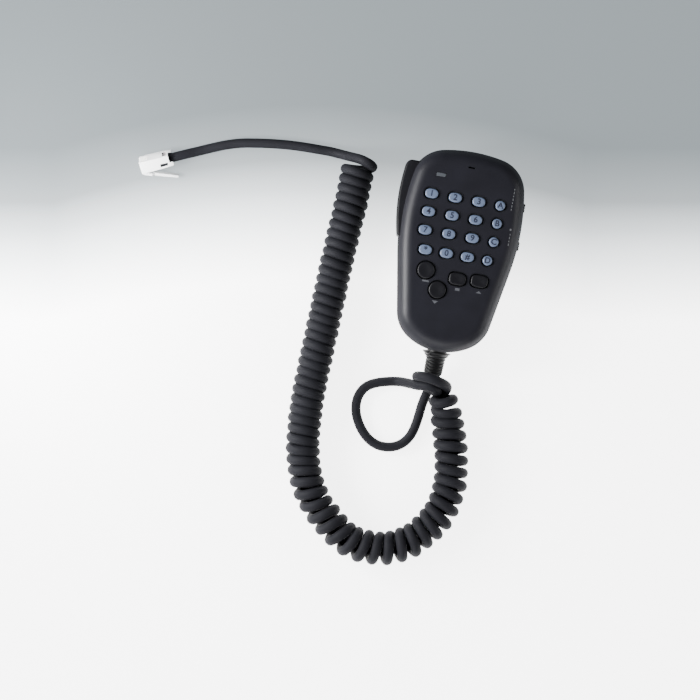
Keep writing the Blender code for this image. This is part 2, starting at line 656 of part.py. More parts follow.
def make_slide_switch(name, y):
    """A slide switch on the right side: its knob, and the body behind it on the circuit board."""
    reach = half_width(y) + KNOB_PROUD
    levels = ((26.9 * MM, 3.1 * MM, 2.1 * MM), (27.5 * MM, 3.1 * MM, 2.1 * MM),
              (27.5 * MM, KNOB_HALF_LENGTH, KNOB_HALF_HEIGHT),
              (reach - 0.4 * MM, KNOB_HALF_LENGTH, KNOB_HALF_HEIGHT),
              (reach, KNOB_HALF_LENGTH - 0.5 * MM, KNOB_HALF_HEIGHT - 0.3 * MM))
    rings = []
    for x, half_y, half_z in levels:
        rings.append([(x - reach, -half_y, -half_z), (x - reach, half_y, -half_z),
                      (x - reach, half_y, half_z), (x - reach, -half_y, half_z)])
    bm = bmesh.new()
    add_loft(bm, rings)
    add_object(name + "_knob", mesh_from(bm, name + "_knob"), black_plastic(), (reach, y, SWITCH_Z))
    middle = y + SWITCH_TRAVEL / 2
    box_object(name + "_switch", (21.4 * MM, middle - 4.6 * MM, 15.0 * MM),
               (26.6 * MM, middle + 4.6 * MM, BOARD_Z[0] - GAP), white_plastic())


# ---------------------------------------------------------------- inside

def clipped_board(name, z_range, inset, low, high, mat):
    """A flat plate: the body outline moved inwards, clipped to a rectangle."""
    bm = bmesh.new()
    add_loft(bm, [[(x, y, z) for x, y in outline(inset)] for z in z_range])
    obj = add_object(name, mesh_from(bm, name), mat)
    clip = bmesh.new()
    add_box(clip, (*low, z_range[0] - 5 * MM), (*high, z_range[1] + 5 * MM))
    add_boolean(obj, cutter_object(name + "_clip", clip), "INTERSECT")
    return obj


def make_inside():
    board = clipped_board("circuit_board", BOARD_Z, 3.0 * MM, BOARD_LOW, BOARD_HIGH, board_green())
    notches = bmesh.new()
    add_cylinder(notches, CAPSULE_XY, CAPSULE_RADIUS + 1.35 * MM, *BOARD_CUT_Z)
    for x, y in COVER_SCREWS[:2]:
        add_cylinder(notches, (x, y), FRONT_BOSS_RADIUS + 0.7 * MM, *BOARD_CUT_Z)
    add_boolean(board, cutter_object("board_notches", notches))
    clipped_board("keypad_mat", MAT_Z, 5.6 * MM, KEYPAD_MAT_LOW, KEYPAD_MAT_HIGH, rubber())
    box_object("encoder_chip", (-4 * MM, -10 * MM, 19.4 * MM), (8 * MM, -2 * MM, 21.2 * MM), black_plastic())
    box_object("cord_header", (-6 * MM, -34 * MM, 17.2 * MM), (6 * MM, -29 * MM, 21.2 * MM), white_plastic())
    capsule = bmesh.new()
    add_cylinder(capsule, (0, 0), CAPSULE_RADIUS, 0, 5.6 * MM)
    place = (*CAPSULE_XY, 21.3 * MM)
    add_object("mic_capsule", mesh_from(capsule, "mic_capsule"), steel(), place)
    outer = CAPSULE_RADIUS + 0.95 * MM
    inner = CAPSULE_RADIUS + GAP
    profile = ((0, 21.0), (inner / MM, 21.0), (inner / MM, 27.2), (outer / MM, 27.2), (outer / MM, 20.0),
               (0, 20.0))
    turned("mic_boot", [(radius * MM, height * MM) for radius, height in profile], rubber(), (*CAPSULE_XY, 0))
    make_indicator()
    make_cable_anchor()


def make_indicator():
    """The clear window at the top left, and the lamp under it."""
    x, y = WINDOW_XY
    rings = []
    for grow, z in ((0.1, 26.6), (0.1, 27.6), (-0.3, 27.6), (-0.3, 30.05)):
        half_x = WINDOW_SIZE[0] / 2 + grow * MM
        half_y = WINDOW_SIZE[1] / 2 + grow * MM
        rings.append([(-half_x, -half_y, (z - 30) * MM), (half_x, -half_y, (z - 30) * MM),
                      (half_x, half_y, (z - 30) * MM), (-half_x, half_y, (z - 30) * MM)])
    bm = bmesh.new()
    add_loft(bm, rings)
    add_object("indicator_lens", mesh_from(bm, "indicator_lens"), clear_plastic(), (x, y, 30 * MM))
    box_object("indicator_led", (x - 1.5 * MM, y - 1.4 * MM, BOARD_Z[1] + GAP),
               (x + 1.5 * MM, y + 0.6 * MM, BOARD_Z[1] + 1.5 * MM), white_plastic())


def make_cable_anchor():
    """The cable inside the foot, and the bar that clamps it."""
    route = ((0, -49.4, 13.5), (0, -46.5, 13.5), (0, -43, 14), (0, -40, 16), (0, -37.5, 18.4), (0, -34.8, 19.2))
    tube("inner_cable", smooth_route(route, 2.2 * MM), 2.0 * MM, rubber())
    bar = box_object("cable_clamp", (-9 * MM, -47 * MM, 16.1 * MM), (9 * MM, -43 * MM, 17.9 * MM), steel())
    holes = bmesh.new()
    for x, y in CLAMP_SCREWS:
        add_cylinder(holes, (x, y), CLAMP_HOLE_RADIUS, 15 * MM, 19 * MM, segments=16)
    add_boolean(bar, cutter_object("clamp_holes", holes))
    profile = ((0, 19.6), (2.0, 19.6), (2.0, 18.2), (1.0, 18.2), (1.0, 11.0), (0, 11.0))
    for side, (x, y) in zip(("left", "right"), CLAMP_SCREWS):
        turned("clamp_screw_" + side, [(radius * MM, height * MM) for radius, height in profile], steel(),
               (x, y, 0), steps=16)


# ---------------------------------------------------------------- back

def make_back():
    """Hanger button with its washer and screw, and the screws that hold the covers together."""
    button = ((0, 2.0), (1.6, 2.0), (1.6, 7.3), (2.6, 7.3), (2.6, 5.2), (4.2, 5.2), (4.2, 3.4), (5.2, 2.6),
              (7.6, 2.6), (8.0, 2.2), (8.0, 0.5), (7.5, 0), (0, 0))
    washer = ((1.9, 7.8), (1.9, 8.6), (4.6, 8.6), (4.6, 7.8), (1.9, 7.8))
    screw = ((0, 10.4), (3.0, 10.4), (3.0, 8.9), (1.3, 8.9), (1.3, 2.4), (0, 2.4))
    turned("hanger_button", [(radius * MM, height * MM) for radius, height in button], steel(), (0, 0, 0), 32)
    turned("hanger_washer", [(radius * MM, height * MM) for radius, height in washer], steel(), (0, 0, 0))
    turned("hanger_screw", [(radius * MM, height * MM) for radius, height in screw], steel(), (0, 0, 0))
    head = SCREW_HEAD_RADIUS / MM
    shank = SCREW_RADIUS / MM
    profile = ((0, 25.6), (shank, 25.6), (shank, 9.4), (head, 9.4), (head, 7.9), (head - 0.5, 7.5), (0, 7.5))
    for number, (x, y) in enumerate(COVER_SCREWS, start=1):
        turned("cover_screw_" + str(number), [(radius * MM, height * MM) for radius, height in profile],
               steel(), (x, y, 0), steps=16)


# ---------------------------------------------------------------- cord

def boot_radius(distance, length):
    """Radius of the ribbed strain relief along its length, from its inner flange outwards."""
    flange = 1.7 * MM
    collar = 7.8 * MM
    flare = 2.4 * MM
    if distance < flange:
        return BOOT_RADIUS + BOOT_FLANGE
    if distance < collar:
        return BOOT_RADIUS - 0.1 * MM
    if distance < collar + flare:
        part = (distance - collar) / flare
        return BOOT_RADIUS + BOOT_COLLAR * (1 - part) ** 2
    taper = BOOT_TAPER * (distance - collar) / (length - collar)
    rib = 0.5 - 0.5 * math.cos(2 * math.pi * (distance - collar - flare) / BOOT_RIB_PITCH)
    return BOOT_RADIUS - taper - BOOT_RIB * (1 - rib)


def make_strain_relief():
    points = smooth_route(BOOT_ROUTE, BOOT_RIB_PITCH / 4)
    length = sum((second - first).length for first, second in zip(points, points[1:]))
    radii = [boot_radius(length * i / (len(points) - 1), length) for i in range(len(points))]
    tube("strain_relief", points, radii, rubber(), resolution=3)


def make_cord():
    tube("cord_lead_mic", smooth_route(LEAD_MIC_ROUTE, 4.5 * MM), CORD_RADIUS, rubber())
    tube("curly_cord", smooth_route(COIL_ROUTE, 9 * MM), COIL_RADIUS, rubber(), resolution=3)
    tube("cord_lead_plug", smooth_route(LEAD_PLUG_ROUTE, 6 * MM), CORD_RADIUS, rubber())


# ---------------------------------------------------------------- plug

def plug_matrix():
    """Plug frame: X forwards out of the nose, Y across, Z out of the latch side; origin mid rear face."""
    forward = Vector((math.cos(PLUG_HEADING), math.sin(PLUG_HEADING), 0))
    sideways = Vector((-forward.y, forward.x, 0))
    latch = sideways * math.cos(PLUG_ROLL) - Vector((0, 0, 1)) * math.sin(PLUG_ROLL)
    across = latch.cross(forward)
    turn = Matrix((forward, across, latch)).transposed().to_4x4()
    return Matrix.Translation(PLUG_REAR) @ turn


def place_mesh(name, bm, mat, frame, offset=(0, 0, 0)):
    obj = add_object(name, mesh_from(bm, name), mat)
    obj.matrix_world = frame @ Matrix.Translation(offset)
    return obj


def make_plug():
    frame = plug_matrix()
    half = PLUG_WIDTH / 2
    depth = PLUG_HEIGHT / 2
    body = bmesh.new()
    rings = []
    for x, low, high, side in ((0, -depth + 0.2 * MM, depth - 0.5 * MM, half - 0.2 * MM),
                               (5 * MM, -depth, depth - 0.3 * MM, half), (PLUG_LENGTH, -depth, depth, half)):
        rings.append([(x, -side, low), (x, side, low), (x, side, high), (x, -side, high)])
    add_loft(body, rings)
    housing = place_mesh("plug_housing", body, clear_plastic(), frame)
    add_bevel(housing, 0.3 * MM)
    pocket = bmesh.new()
    add_box(pocket, (PLUG_LENGTH - 5 * MM, -3.7 * MM, -depth - 1 * MM),
            (PLUG_LENGTH - 0.7 * MM, 3.7 * MM, -depth + 3.2 * MM))
    cutter = cutter_object("plug_pocket", pocket)
    cutter.matrix_world = frame
    add_boolean(housing, cutter)
    make_plug_contacts(frame, depth)
    make_plug_latch(frame, depth)


def make_plug_contacts(frame, depth):
    """Contact block: six blades standing on one carrier, in the pocket of the plug's nose."""
    bm = bmesh.new()
    nose = PLUG_LENGTH - 1.0 * MM
    add_box(bm, (nose - 3.7 * MM, -3.4 * MM, -depth + 1.7 * MM), (nose, 3.4 * MM, -depth + 2.9 * MM))
    block = place_mesh("plug_contacts", bm, gold(), frame)
    blades = bmesh.new()
    for i in range(6):
        y = (i - 2.5) * 1.02 * MM
        add_box(blades, (nose - 3.3 * MM, y - 0.16 * MM, -depth + 0.4 * MM),
                (nose - 0.3 * MM, y + 0.16 * MM, -depth + 2.3 * MM))
    cutter = cutter_object("contact_blades", blades)
    cutter.matrix_world = frame
    add_boolean(block, cutter, "UNION")


def make_plug_latch(frame, depth):
    """Sprung latch, hinged at the nose and splayed away from the body towards the cord."""
    root = (PLUG_LENGTH - 1.2 * MM, 0, depth + 0.75 * MM)
    bm = bmesh.new()
    sections = ((0.7, 2.9, 0.45), (-4.0, 2.9, 0.45), (-4.6, 1.6, 0.45), (-LATCH_LENGTH / MM, 1.6, 0.4))
    rings = []
    for x, side, thick in sections:
        side = side * MM
        thick = thick * MM
        rings.append([(x * MM, -side, -thick), (x * MM, side, -thick), (x * MM, side, thick),
                      (x * MM, -side, thick)])
    add_loft(bm, rings)
    turn = Matrix.Translation(root) @ Matrix.Rotation(LATCH_SPLAY, 4, "Y")
    place_mesh("plug_latch", bm, clear_plastic(), frame @ turn)


# ---------------------------------------------------------------- assembly

def main():
    clear_scene()
    collection(PARTS)
    make_front_cover()
    make_rear_cover()
    make_keys()
    make_ptt()
    for name, y in SWITCHES:
        make_slide_switch(name, y)
    make_inside()
    make_back()
    make_strain_relief()
    make_cord()
    make_plug()


main()
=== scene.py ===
"""Looks of the hand microphone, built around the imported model.

Frame: +Z out of the keypad face, +Y towards the head, +X to the right as the keypad is read.
The origin is the centre of the hanger button's flat face, which rests on the floor at z = 0.
"""
import math

import bmesh
import bpy
from mathutils import Matrix, Vector


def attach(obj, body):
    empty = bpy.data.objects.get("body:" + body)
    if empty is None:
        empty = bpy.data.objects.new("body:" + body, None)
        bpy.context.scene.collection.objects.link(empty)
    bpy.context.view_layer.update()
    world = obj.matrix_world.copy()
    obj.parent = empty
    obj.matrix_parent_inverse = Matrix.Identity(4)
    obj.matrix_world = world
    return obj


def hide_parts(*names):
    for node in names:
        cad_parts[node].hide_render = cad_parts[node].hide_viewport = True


MM = 0.001

# Camera: straight above the object, turned so that the microphone leans to the left.
CAMERA_PLACE = (-44.91 * MM, -64.68 * MM, 900 * MM)
CAMERA_TURN = math.radians(10.3)
CAMERA_LENS = 87.0

# Floor: a sweep that glows with painted light, white below, with painted shade that turns it grey at the head
# of the view and darker towards the sides.
FLOOR_MIDDLE_X = -72 * MM
FLOOR_LIT_Y = -18 * MM
FLOOR_SHADE_Y = 75 * MM
FLOOR_SIDE_SHADE_SHIFT = 1.15             # how fast the painted shade comes down towards the sides, per metre
FLOOR_SIDE_LIMIT = 0.02             # square metres, where that ends
FLOOR_GLOW = 6.0
FLOOR_HALF_SIZE = 4.0
# Painted brightness along the floor, from the white end to the painted shade end.
FLOOR_STEPS = ((0.0, 0.8), (0.34, 0.4), (0.52, 0.22), (0.69, 0.105), (0.86, 0.08), (1.0, 0.062))
FLOOR_COOLNESS = 0.12               # how much bluer the painted shade end is than the white one

# Soft lights: name, place, target, size and power. The left one leads; the last is a small one for the plug.
SKY_COLOR = (0.93, 0.96, 1.0, 1)
SKY_STRENGTH = 0.2
LIGHTS = (
    ("light_left", (-0.85, -0.05, 0.5), (-0.05, -0.05, 0), (0.9, 0.5), 27),
    ("light_right", (0.8, 0.05, 0.45), (-0.02, -0.05, 0), (0.7, 0.4), 5.5),
    ("light_low", (-0.1, -0.9, 0.5), (-0.05, -0.15, 0), (1.0, 0.5), 10),
    ("light_plug", (-0.26, -0.05, 0.13), (-0.165, 0.012, 0), (0.06, 0.06), 1.3),
)

# Body outline, seen from the front: arcs that meet tangentially, and one straight taper.
HEAD_Y = 48.0 * MM
HEAD_RADIUS = 78.0 * MM
HEAD_CORNER_RADIUS = 18.0 * MM
SIDE_X = 31.65 * MM
SIDE_RADIUS = 118.0 * MM
SIDE_Y = 10.5 * MM
TAPER = math.radians(9.9)
FOOT_Y = -57.4 * MM
FOOT_RADIUS = 30.3 * MM
FOOT_CORNER_RADIUS = 18.0 * MM

# Body section.
FACE_Z = 30.0 * MM
SHOULDER_Z = 22.2 * MM
SHOULDER_INSET = 7.8 * MM
PARTING_Z = 17.5 * MM
PARTING_GAP = 0.3 * MM
BACK_Z = 5.5 * MM
BACK_EDGE_Z = 11.5 * MM
BACK_INSET = 6.3 * MM
DRAFT = 0.25 * MM
PARTING_BEVEL = 0.15 * MM
EDGE_STEPS = 16
WALL = 2.0 * MM
SHARP_ANGLE = math.radians(35)      # edges turning more than this are drawn sharp

# Keypad.
KEY_TOP_Z = 30.93 * MM
KEY_BOTTOM_Z = 27.8 * MM
KEY_GAP = 0.4 * MM
KEY_WELL = 1.1 * MM
KEY_WELL_DEPTH = 1.1 * MM
KEY_WELL_SLOPE = 0.2 * MM
FUNCTION_WELL = 0.7 * MM
KEY_EDGE = (0.7 * MM, 0.55 * MM)    # a key's rounded top edge, across and down
FUNCTION_DISH = 0.45 * MM
DIGIT_SIZE = 4.2 * MM
KEY_SIZE = (6.6 * MM, 4.8 * MM)
ROUND_KEY_SIZE = (4.9 * MM, 4.9 * MM)
ROW_Y = (22.1 * MM, 12.7 * MM, 3.1 * MM, -6.9 * MM)
COLUMN_X = (-17.9 * MM, -5.6 * MM, 6.7 * MM, 17.9 * MM)
LAST_ROW_X = (-16.0 * MM, -5.0 * MM, 6.0 * MM, 16.4 * MM)
KEY_NAMES = ("1", "2", "3", "a", "4", "5", "6", "b", "7", "8", "9", "c", "star", "0", "hash", "d")
KEY_MARKS = {"star": "*", "hash": "#"}
FUNCTION_KEYS = (                    # name, centre x, centre y, width, height, squareness
    ("key_f1", -13.8 * MM, -17.2 * MM, 8.8 * MM, 8.8 * MM, 2.0),
    ("key_f2", -6.3 * MM, -26.2 * MM, 8.8 * MM, 8.8 * MM, 2.0),
    ("key_f3", 2.9 * MM, -18.9 * MM, 8.7 * MM, 6.4 * MM, 3.0),
    ("key_f4", 14.2 * MM, -18.1 * MM, 8.7 * MM, 6.4 * MM, 3.0),
)

# Push-to-talk lever on the left side, hinged at its lower end.
PTT_REACH_X = -34.6 * MM
PTT_ARC_RADIUS = 98.0 * MM
PTT_ARC_Y = 22.0 * MM
PTT_LOW_Y = -1.9 * MM
PTT_TOP_Y = 38.2 * MM
PTT_CORNER = 4.6 * MM
PTT_INNER_X = -28.6 * MM
PTT_TOP_INNER_X = -25.8 * MM        # its head reaches further in, under the head's corner
PTT_TOP_INNER_Y = 30.0 * MM
PTT_SWING_ROOM = 2.3 * MM           # room inside the lever for its travel
PTT_Z = (10.5 * MM, 25.0 * MM)
PTT_EDGE = 1.3 * MM                 # rounding of its long edges
PTT_GAP = 0.4 * MM
PTT_TOP_GAP = 0.3 * MM

# Slide switches on the right side.
SWITCH_TRAVEL = 2.5 * MM
SWITCHES = (("lamp", 24.1 * MM), ("lock", 4.1 * MM))
KNOB_HALF_LENGTH = 2.3 * MM
KNOB_HALF_HEIGHT = 1.2 * MM
KNOB_PROUD = 0.8 * MM
KNOB_GAP = 0.35 * MM
KNOB_INNER_X = 27.5 * MM
RIDGE_PITCH = 0.85 * MM
RIDGES = ((0.5 * MM, 0.3 * MM), (0.1 * MM, 0.22 * MM), (0.0, 0.1 * MM))     # depth and half-thickness

# Face details.
SLOT_XY = (0.0, 38.7 * MM)
SLOT_SIZE = (3.4 * MM, 0.9 * MM)
WINDOW_XY = (-14.8 * MM, 32.5 * MM)
WINDOW_SIZE = (5.2 * MM, 2.1 * MM)
WINDOW_LEVELS = ((0.12, 26.8), (0.12, 29.85), (0.3, 30.02))     # inset and height, in mm
SIDE_DASHES = ((23.8, 31.6, 7), (25.5, 8.4, 4))                 # x, top y and number, in mm
SIDE_DASH_PITCH = 1.75
SIDE_DASH_WIDTH = 0.4
SIDE_DASH_LENGTHS = (0.8, 1.2)
SIDE_DOT = (25.3, 10.9, 0.9, 1.0)                               # x, y, width and length, in mm
COVER_SCREWS = ((-19.6 * MM, 37.0 * MM), (19.6 * MM, 37.0 * MM),
                (-13.5 * MM, -41.0 * MM), (13.5 * MM, -41.0 * MM))
# Profiles on the back, as (radius, height) in mm, and the screws' cross: half-sizes and top in mm.
COUNTERBORE = ((3.5, 4.5), (3.5, 5.45), (3.0, 5.9), (3.0, 9.5))
SCREW_PROFILE = ((1.3, 11.0), (2.55, 9.35), (2.6, 8.6), (2.35, 7.85), (1.7, 7.5))
SCREW_CROSS = ((1.45, 0.28, 8.7), (0.28, 1.45, 8.65))
SCREW_CROSS_BOTTOM = 7.0
HANGER_HOLE_RADIUS = 2.9 * MM

# Cord: a smooth lead, a tangled start, a left-handed coil and a lead to the plug. Routes in mm.
CORD_RADIUS = 2.55 * MM
CORD_STEP = 1.7 * MM
CORD_BLEND = 50 * MM                # over which it changes between its two thicknesses
EXIT_Z = 13.5 * MM
BOOT_RADIUS = 5.3 * MM
BOOT_FLANGE = 0.4 * MM
BOOT_FLANGE_END = 1.7 * MM          # distances from its inner end
BOOT_COLLAR_START = 7.8 * MM
BOOT_FLARE = 4.2 * MM
BOOT_COLLAR = 2.3 * MM
BOOT_TAPER = 0.35 * MM
BOOT_RIB = 1.0 * MM
BOOT_RIB_PITCH = 1.7 * MM
BOOT_ROUTE = ((0, -49.8, 13.5), (0, -53.5, 13.5), (0, -57.5, 13.4), (0.1, -60, 12.9),
              (0.1, -62.5, 12.0), (0.1, -65.8, 9.9), (0.2, -68.8, 7.4))
LEAD_MIC_ROUTE = ((0.25, -69.2, 7.0), (0.3, -71.2, 4.9), (0.3, -73.6, 3.3), (0, -76.7, 2.65),
                  (-1, -80.9, 2.6), (-2.2, -86.5, 2.6), (-2.9, -93.1, 2.6), (-3.8, -98.8, 2.6),
                  (-5.3, -103.6, 2.6), (-7.8, -107.4, 2.6), (-11.5, -110.3, 2.6), (-16.3, -111.8, 2.6),
                  (-21.7, -111.6, 2.6), (-27.2, -109, 2.6), (-32, -104.1, 2.6), (-35.4, -97.9, 2.6),
                  (-36.6, -91.7, 2.6), (-35.6, -86.2, 2.6), (-32.7, -82, 2.6), (-28, -79.3, 2.6),
                  (-22.1, -77.5, 2.7))
KNOT_ROUTE = ((-18, -76.7, 3.1), (-15.1, -76.4, 4.8), (-12.3, -76.4, 7.4), (-9.5, -76.5, 10.6),
              (-6.7, -76.6, 14.5), (-3.6, -76.1, 17.6), (0, -76.2, 18.6), (2.8, -76.9, 17),
              (4.0, -77.9, 13.2), (2.8, -78.2, 9.6), (-0.5, -76.9, 7.9), (-4.1, -74.6, 7.5),
              (-7.2, -72.7, 10.2), (-8.1, -71.9, 15), (-6.8, -71.6, 19.6), (-3.8, -71.5, 22.4),
              (0.1, -71.9, 23.2), (4.2, -72.9, 21.6), (7.4, -73.9, 17.8), (8.6, -75.2, 13.5),
              (8.2, -77, 10), (7.0, -79.2, 8.1), (5.0, -81.2, 7.9), (3.6, -82.9, 9.5))
COIL_ROUTE = ((7.1, -80.7, 12), (9.6, -84.7, 10.8), (11.2, -89.2, 9.8), (12.5, -93.8, 9.3),
              (14.4, -99.1, 9.3), (16.5, -105.9, 9.3), (18.1, -113.1, 9.3), (19.4, -123, 9.3),
              (19.2, -129, 9.3), (18.1, -136.1, 9.3), (16.3, -142.3, 9.3), (13.1, -147.7, 9.3),
              (9.2, -152.9, 9.3), (4.8, -157.5, 9.3), (-0.4, -161, 9.3), (-6.6, -163.7, 9.3),
              (-13.4, -164.9, 9.3), (-20.9, -164.8, 9.3), (-27.7, -163.4, 9.3), (-33.1, -160.4, 9.3),
              (-37.9, -156.8, 9.3), (-42.9, -152.5, 9.3), (-47, -148.5, 9.3), (-50.6, -143.8, 9.3),
              (-53.8, -138.8, 9.3), (-56.3, -133.3, 9.3), (-58.3, -127.3, 9.3), (-60.8, -115.9, 9.3),
              (-62.3, -93.8, 9.3), (-61.8, -71.1, 9.3), (-61.0, -48.3, 9.3), (-60.3, -25.8, 9.3),
              (-59.1, -3, 9.3), (-58.2, 12.5, 9.3), (-57.9, 31.3, 9.3))
COIL_CORD_RADIUS = 2.75 * MM        # the cord is drawn a little fuller where it is coiled
COIL_WIRE_RADIUS = 6.4 * MM         # from the coil's axis to the middle of the wire
COIL_START_RADIUS = 4.7 * MM        # the same, at its first turn
COIL_WIDENING_TURNS = 2.5
COIL_UNEVEN = (0.09, 0.06)          # how far turns stray in radius, in mm, in two slow waves
COIL_SWAY = 0.35                    # how far they lean along the coil, in mm
# Part of the way along the coil, and the pitch there in mm.
COIL_TURNS = ((0.0, 6.2), (0.22, 6.3), (0.3, 6.8), (0.41, 7.0), (0.47, 6.2), (0.53, 5.3), (0.6, 4.95),
              (1.0, 4.95))
LEAD_PLUG_ROUTE = ((-50.3, 31.7, 12.6), (-51.0, 32.3, 15.0), (-53.4, 33.2, 16.4), (-56.8, 34.3, 15.2),
                   (-60.4, 35.1, 11.6), (-64.2, 35.8, 7.3), (-68.9, 36.5, 4.3), (-74.2, 37, 2.8),
                   (-79, 37, 2.6), (-87.6, 36.9, 2.6), (-96.2, 36.5, 2.6), (-105.2, 35.6, 2.6),
                   (-114.1, 34.3, 2.6), (-121.9, 32.8, 2.6), (-129.3, 30.5, 2.6), (-136.1, 27.7, 2.65),
                   (-142, 25.0, 3.2), (-148.5, 21.9, 5.1), (-153.0, 19.7, 6.2), (-156.8, 17.9, 6.7))

# Modular plug, lying rolled on the floor with its latch towards the microphone's foot.
PLUG_REAR = (-155.3 * MM, 18.6 * MM, 6.7 * MM)
PLUG_HEADING = math.radians(204.7)
PLUG_ROLL = math.radians(28.0)
PLUG_LENGTH = 17.5 * MM
PLUG_WIDTH = 9.65 * MM
PLUG_HEIGHT = 6.6 * MM
PLUG_BEVEL = 0.3 * MM
CONTACTS = 6
CONTACT_PITCH = 1.02 * MM
LATCH_SPLAY = math.radians(22.0)
# Latch sections in mm: distance from its root, half-width and half-thickness.
LATCH_SECTIONS = ((0.7, 2.9, 0.5), (-4.0, 2.9, 0.65), (-4.6, 1.6, 0.7), (-17.5, 1.5, 0.65),
                  (-18.0, 1.3, 0.45))

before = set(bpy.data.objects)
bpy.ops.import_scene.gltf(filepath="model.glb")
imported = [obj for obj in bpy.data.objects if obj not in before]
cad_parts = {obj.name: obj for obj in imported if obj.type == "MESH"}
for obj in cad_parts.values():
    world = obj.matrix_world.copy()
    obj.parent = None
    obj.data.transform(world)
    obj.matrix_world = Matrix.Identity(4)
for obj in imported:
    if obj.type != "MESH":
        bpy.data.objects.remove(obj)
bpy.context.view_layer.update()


# ---------------------------------------------------------------- camera, floor and light

def add_camera():
    camera = bpy.data.cameras.new("camera")
    camera.lens = CAMERA_LENS
    camera.clip_start = 0.01
    obj = bpy.data.objects.new("camera", camera)
    obj.location = CAMERA_PLACE
    obj.rotation_euler = (0, 0, CAMERA_TURN)
    bpy.context.scene.collection.objects.link(obj)
    bpy.context.scene.camera = obj


def add_area_light(name, location, target, size, power):
    light = bpy.data.lights.new(name, "AREA")
    light.shape = "RECTANGLE"
    light.size = size[0]
    light.size_y = size[1]
    light.energy = power
    obj = bpy.data.objects.new(name, light)
    obj.location = location
    obj.rotation_euler = (Vector(target) - Vector(location)).to_track_quat("-Z", "Y").to_euler()
    bpy.context.scene.collection.objects.link(obj)


def painted_light_floor():
    """A floor that glows with painted light, white below, with painted shade that turns it grey at the head
    of the view.
    """
    mat = bpy.data.materials.new("floor_painted_glow_and_shade")
    mat.use_nodes = True
    tree = mat.node_tree
    shader = tree.nodes["Principled BSDF"]
    shader.inputs["Roughness"].default_value = 0.9
    shader.inputs["Specular IOR Level"].default_value = 0.0
    # The floor's glow is painted light: the floor is no lamp.
    shader.inputs["Emission Strength"].default_value = FLOOR_GLOW
    place = tree.nodes.new("ShaderNodeTexCoord")
    turned = tree.nodes.new("ShaderNodeMapping")
    turned.inputs["Rotation"].default_value = (0, 0, -CAMERA_TURN)
    turned.inputs["Location"].default_value = (-FLOOR_MIDDLE_X, 0, 0)
    axes = tree.nodes.new("ShaderNodeSeparateXYZ")
    squared = tree.nodes.new("ShaderNodeMath")
    squared.operation = "MULTIPLY"
    bounded = tree.nodes.new("ShaderNodeMath")
    bounded.operation = "MINIMUM"
    bounded.inputs[1].default_value = FLOOR_SIDE_LIMIT
    lifted = tree.nodes.new("ShaderNodeMath")
    lifted.operation = "MULTIPLY_ADD"
    lifted.inputs[1].default_value = FLOOR_SIDE_SHADE_SHIFT
    along = tree.nodes.new("ShaderNodeMapRange")
    along.inputs["From Min"].default_value = FLOOR_LIT_Y
    along.inputs["From Max"].default_value = FLOOR_SHADE_Y
    ramp = tree.nodes.new("ShaderNodeValToRGB")
    for _ in FLOOR_STEPS[2:]:
        ramp.color_ramp.elements.new(0.5)
    for element, (position, value) in zip(ramp.color_ramp.elements, FLOOR_STEPS):
        element.position = position
        cool = FLOOR_COOLNESS * position
        element.color = (value * (1 - cool), value, value * (1 + cool / 2), 1)
    tree.links.new(place.outputs["Object"], turned.inputs["Vector"])
    tree.links.new(turned.outputs["Vector"], axes.inputs["Vector"])
    tree.links.new(axes.outputs["X"], squared.inputs[0])
    tree.links.new(axes.outputs["X"], squared.inputs[1])
    tree.links.new(squared.outputs["Value"], bounded.inputs[0])
    tree.links.new(bounded.outputs["Value"], lifted.inputs[0])
    tree.links.new(axes.outputs["Y"], lifted.inputs[2])
    tree.links.new(lifted.outputs["Value"], along.inputs["Value"])
    tree.links.new(along.outputs["Result"], ramp.inputs["Fac"])
    tree.links.new(ramp.outputs["Color"], shader.inputs["Base Color"])
    tree.links.new(ramp.outputs["Color"], shader.inputs["Emission Color"])
    return mat


def add_studio():
    """A pale floor with painted glow and painted shade, a faint sky and the soft lights."""
    world = bpy.data.worlds.new("studio")
    bpy.context.scene.world = world
    world.use_nodes = True
    world.node_tree.nodes["Background"].inputs["Color"].default_value = SKY_COLOR
    world.node_tree.nodes["Background"].inputs["Strength"].default_value = SKY_STRENGTH
    for name, place, target, size, power in LIGHTS:
        add_area_light(name, place, target, size, power)
    mesh = bpy.data.meshes.new("floor")
    half = FLOOR_HALF_SIZE
    corners = ((-half, -half, 0), (half, -half, 0), (half, half, 0), (-half, half, 0))
    mesh.from_pydata(corners, [], [(0, 1, 2, 3)])
    mesh.materials.append(painted_light_floor())
    floor = bpy.data.objects.new("floor", mesh)
    bpy.context.scene.collection.objects.link(floor)


# ---------------------------------------------------------------- materials

GLOSS_SPREAD = 0.06
MOTTLE_SCALE = 90.0
METAL_STREAK = 6.0
CLEAR_IOR = 1.49


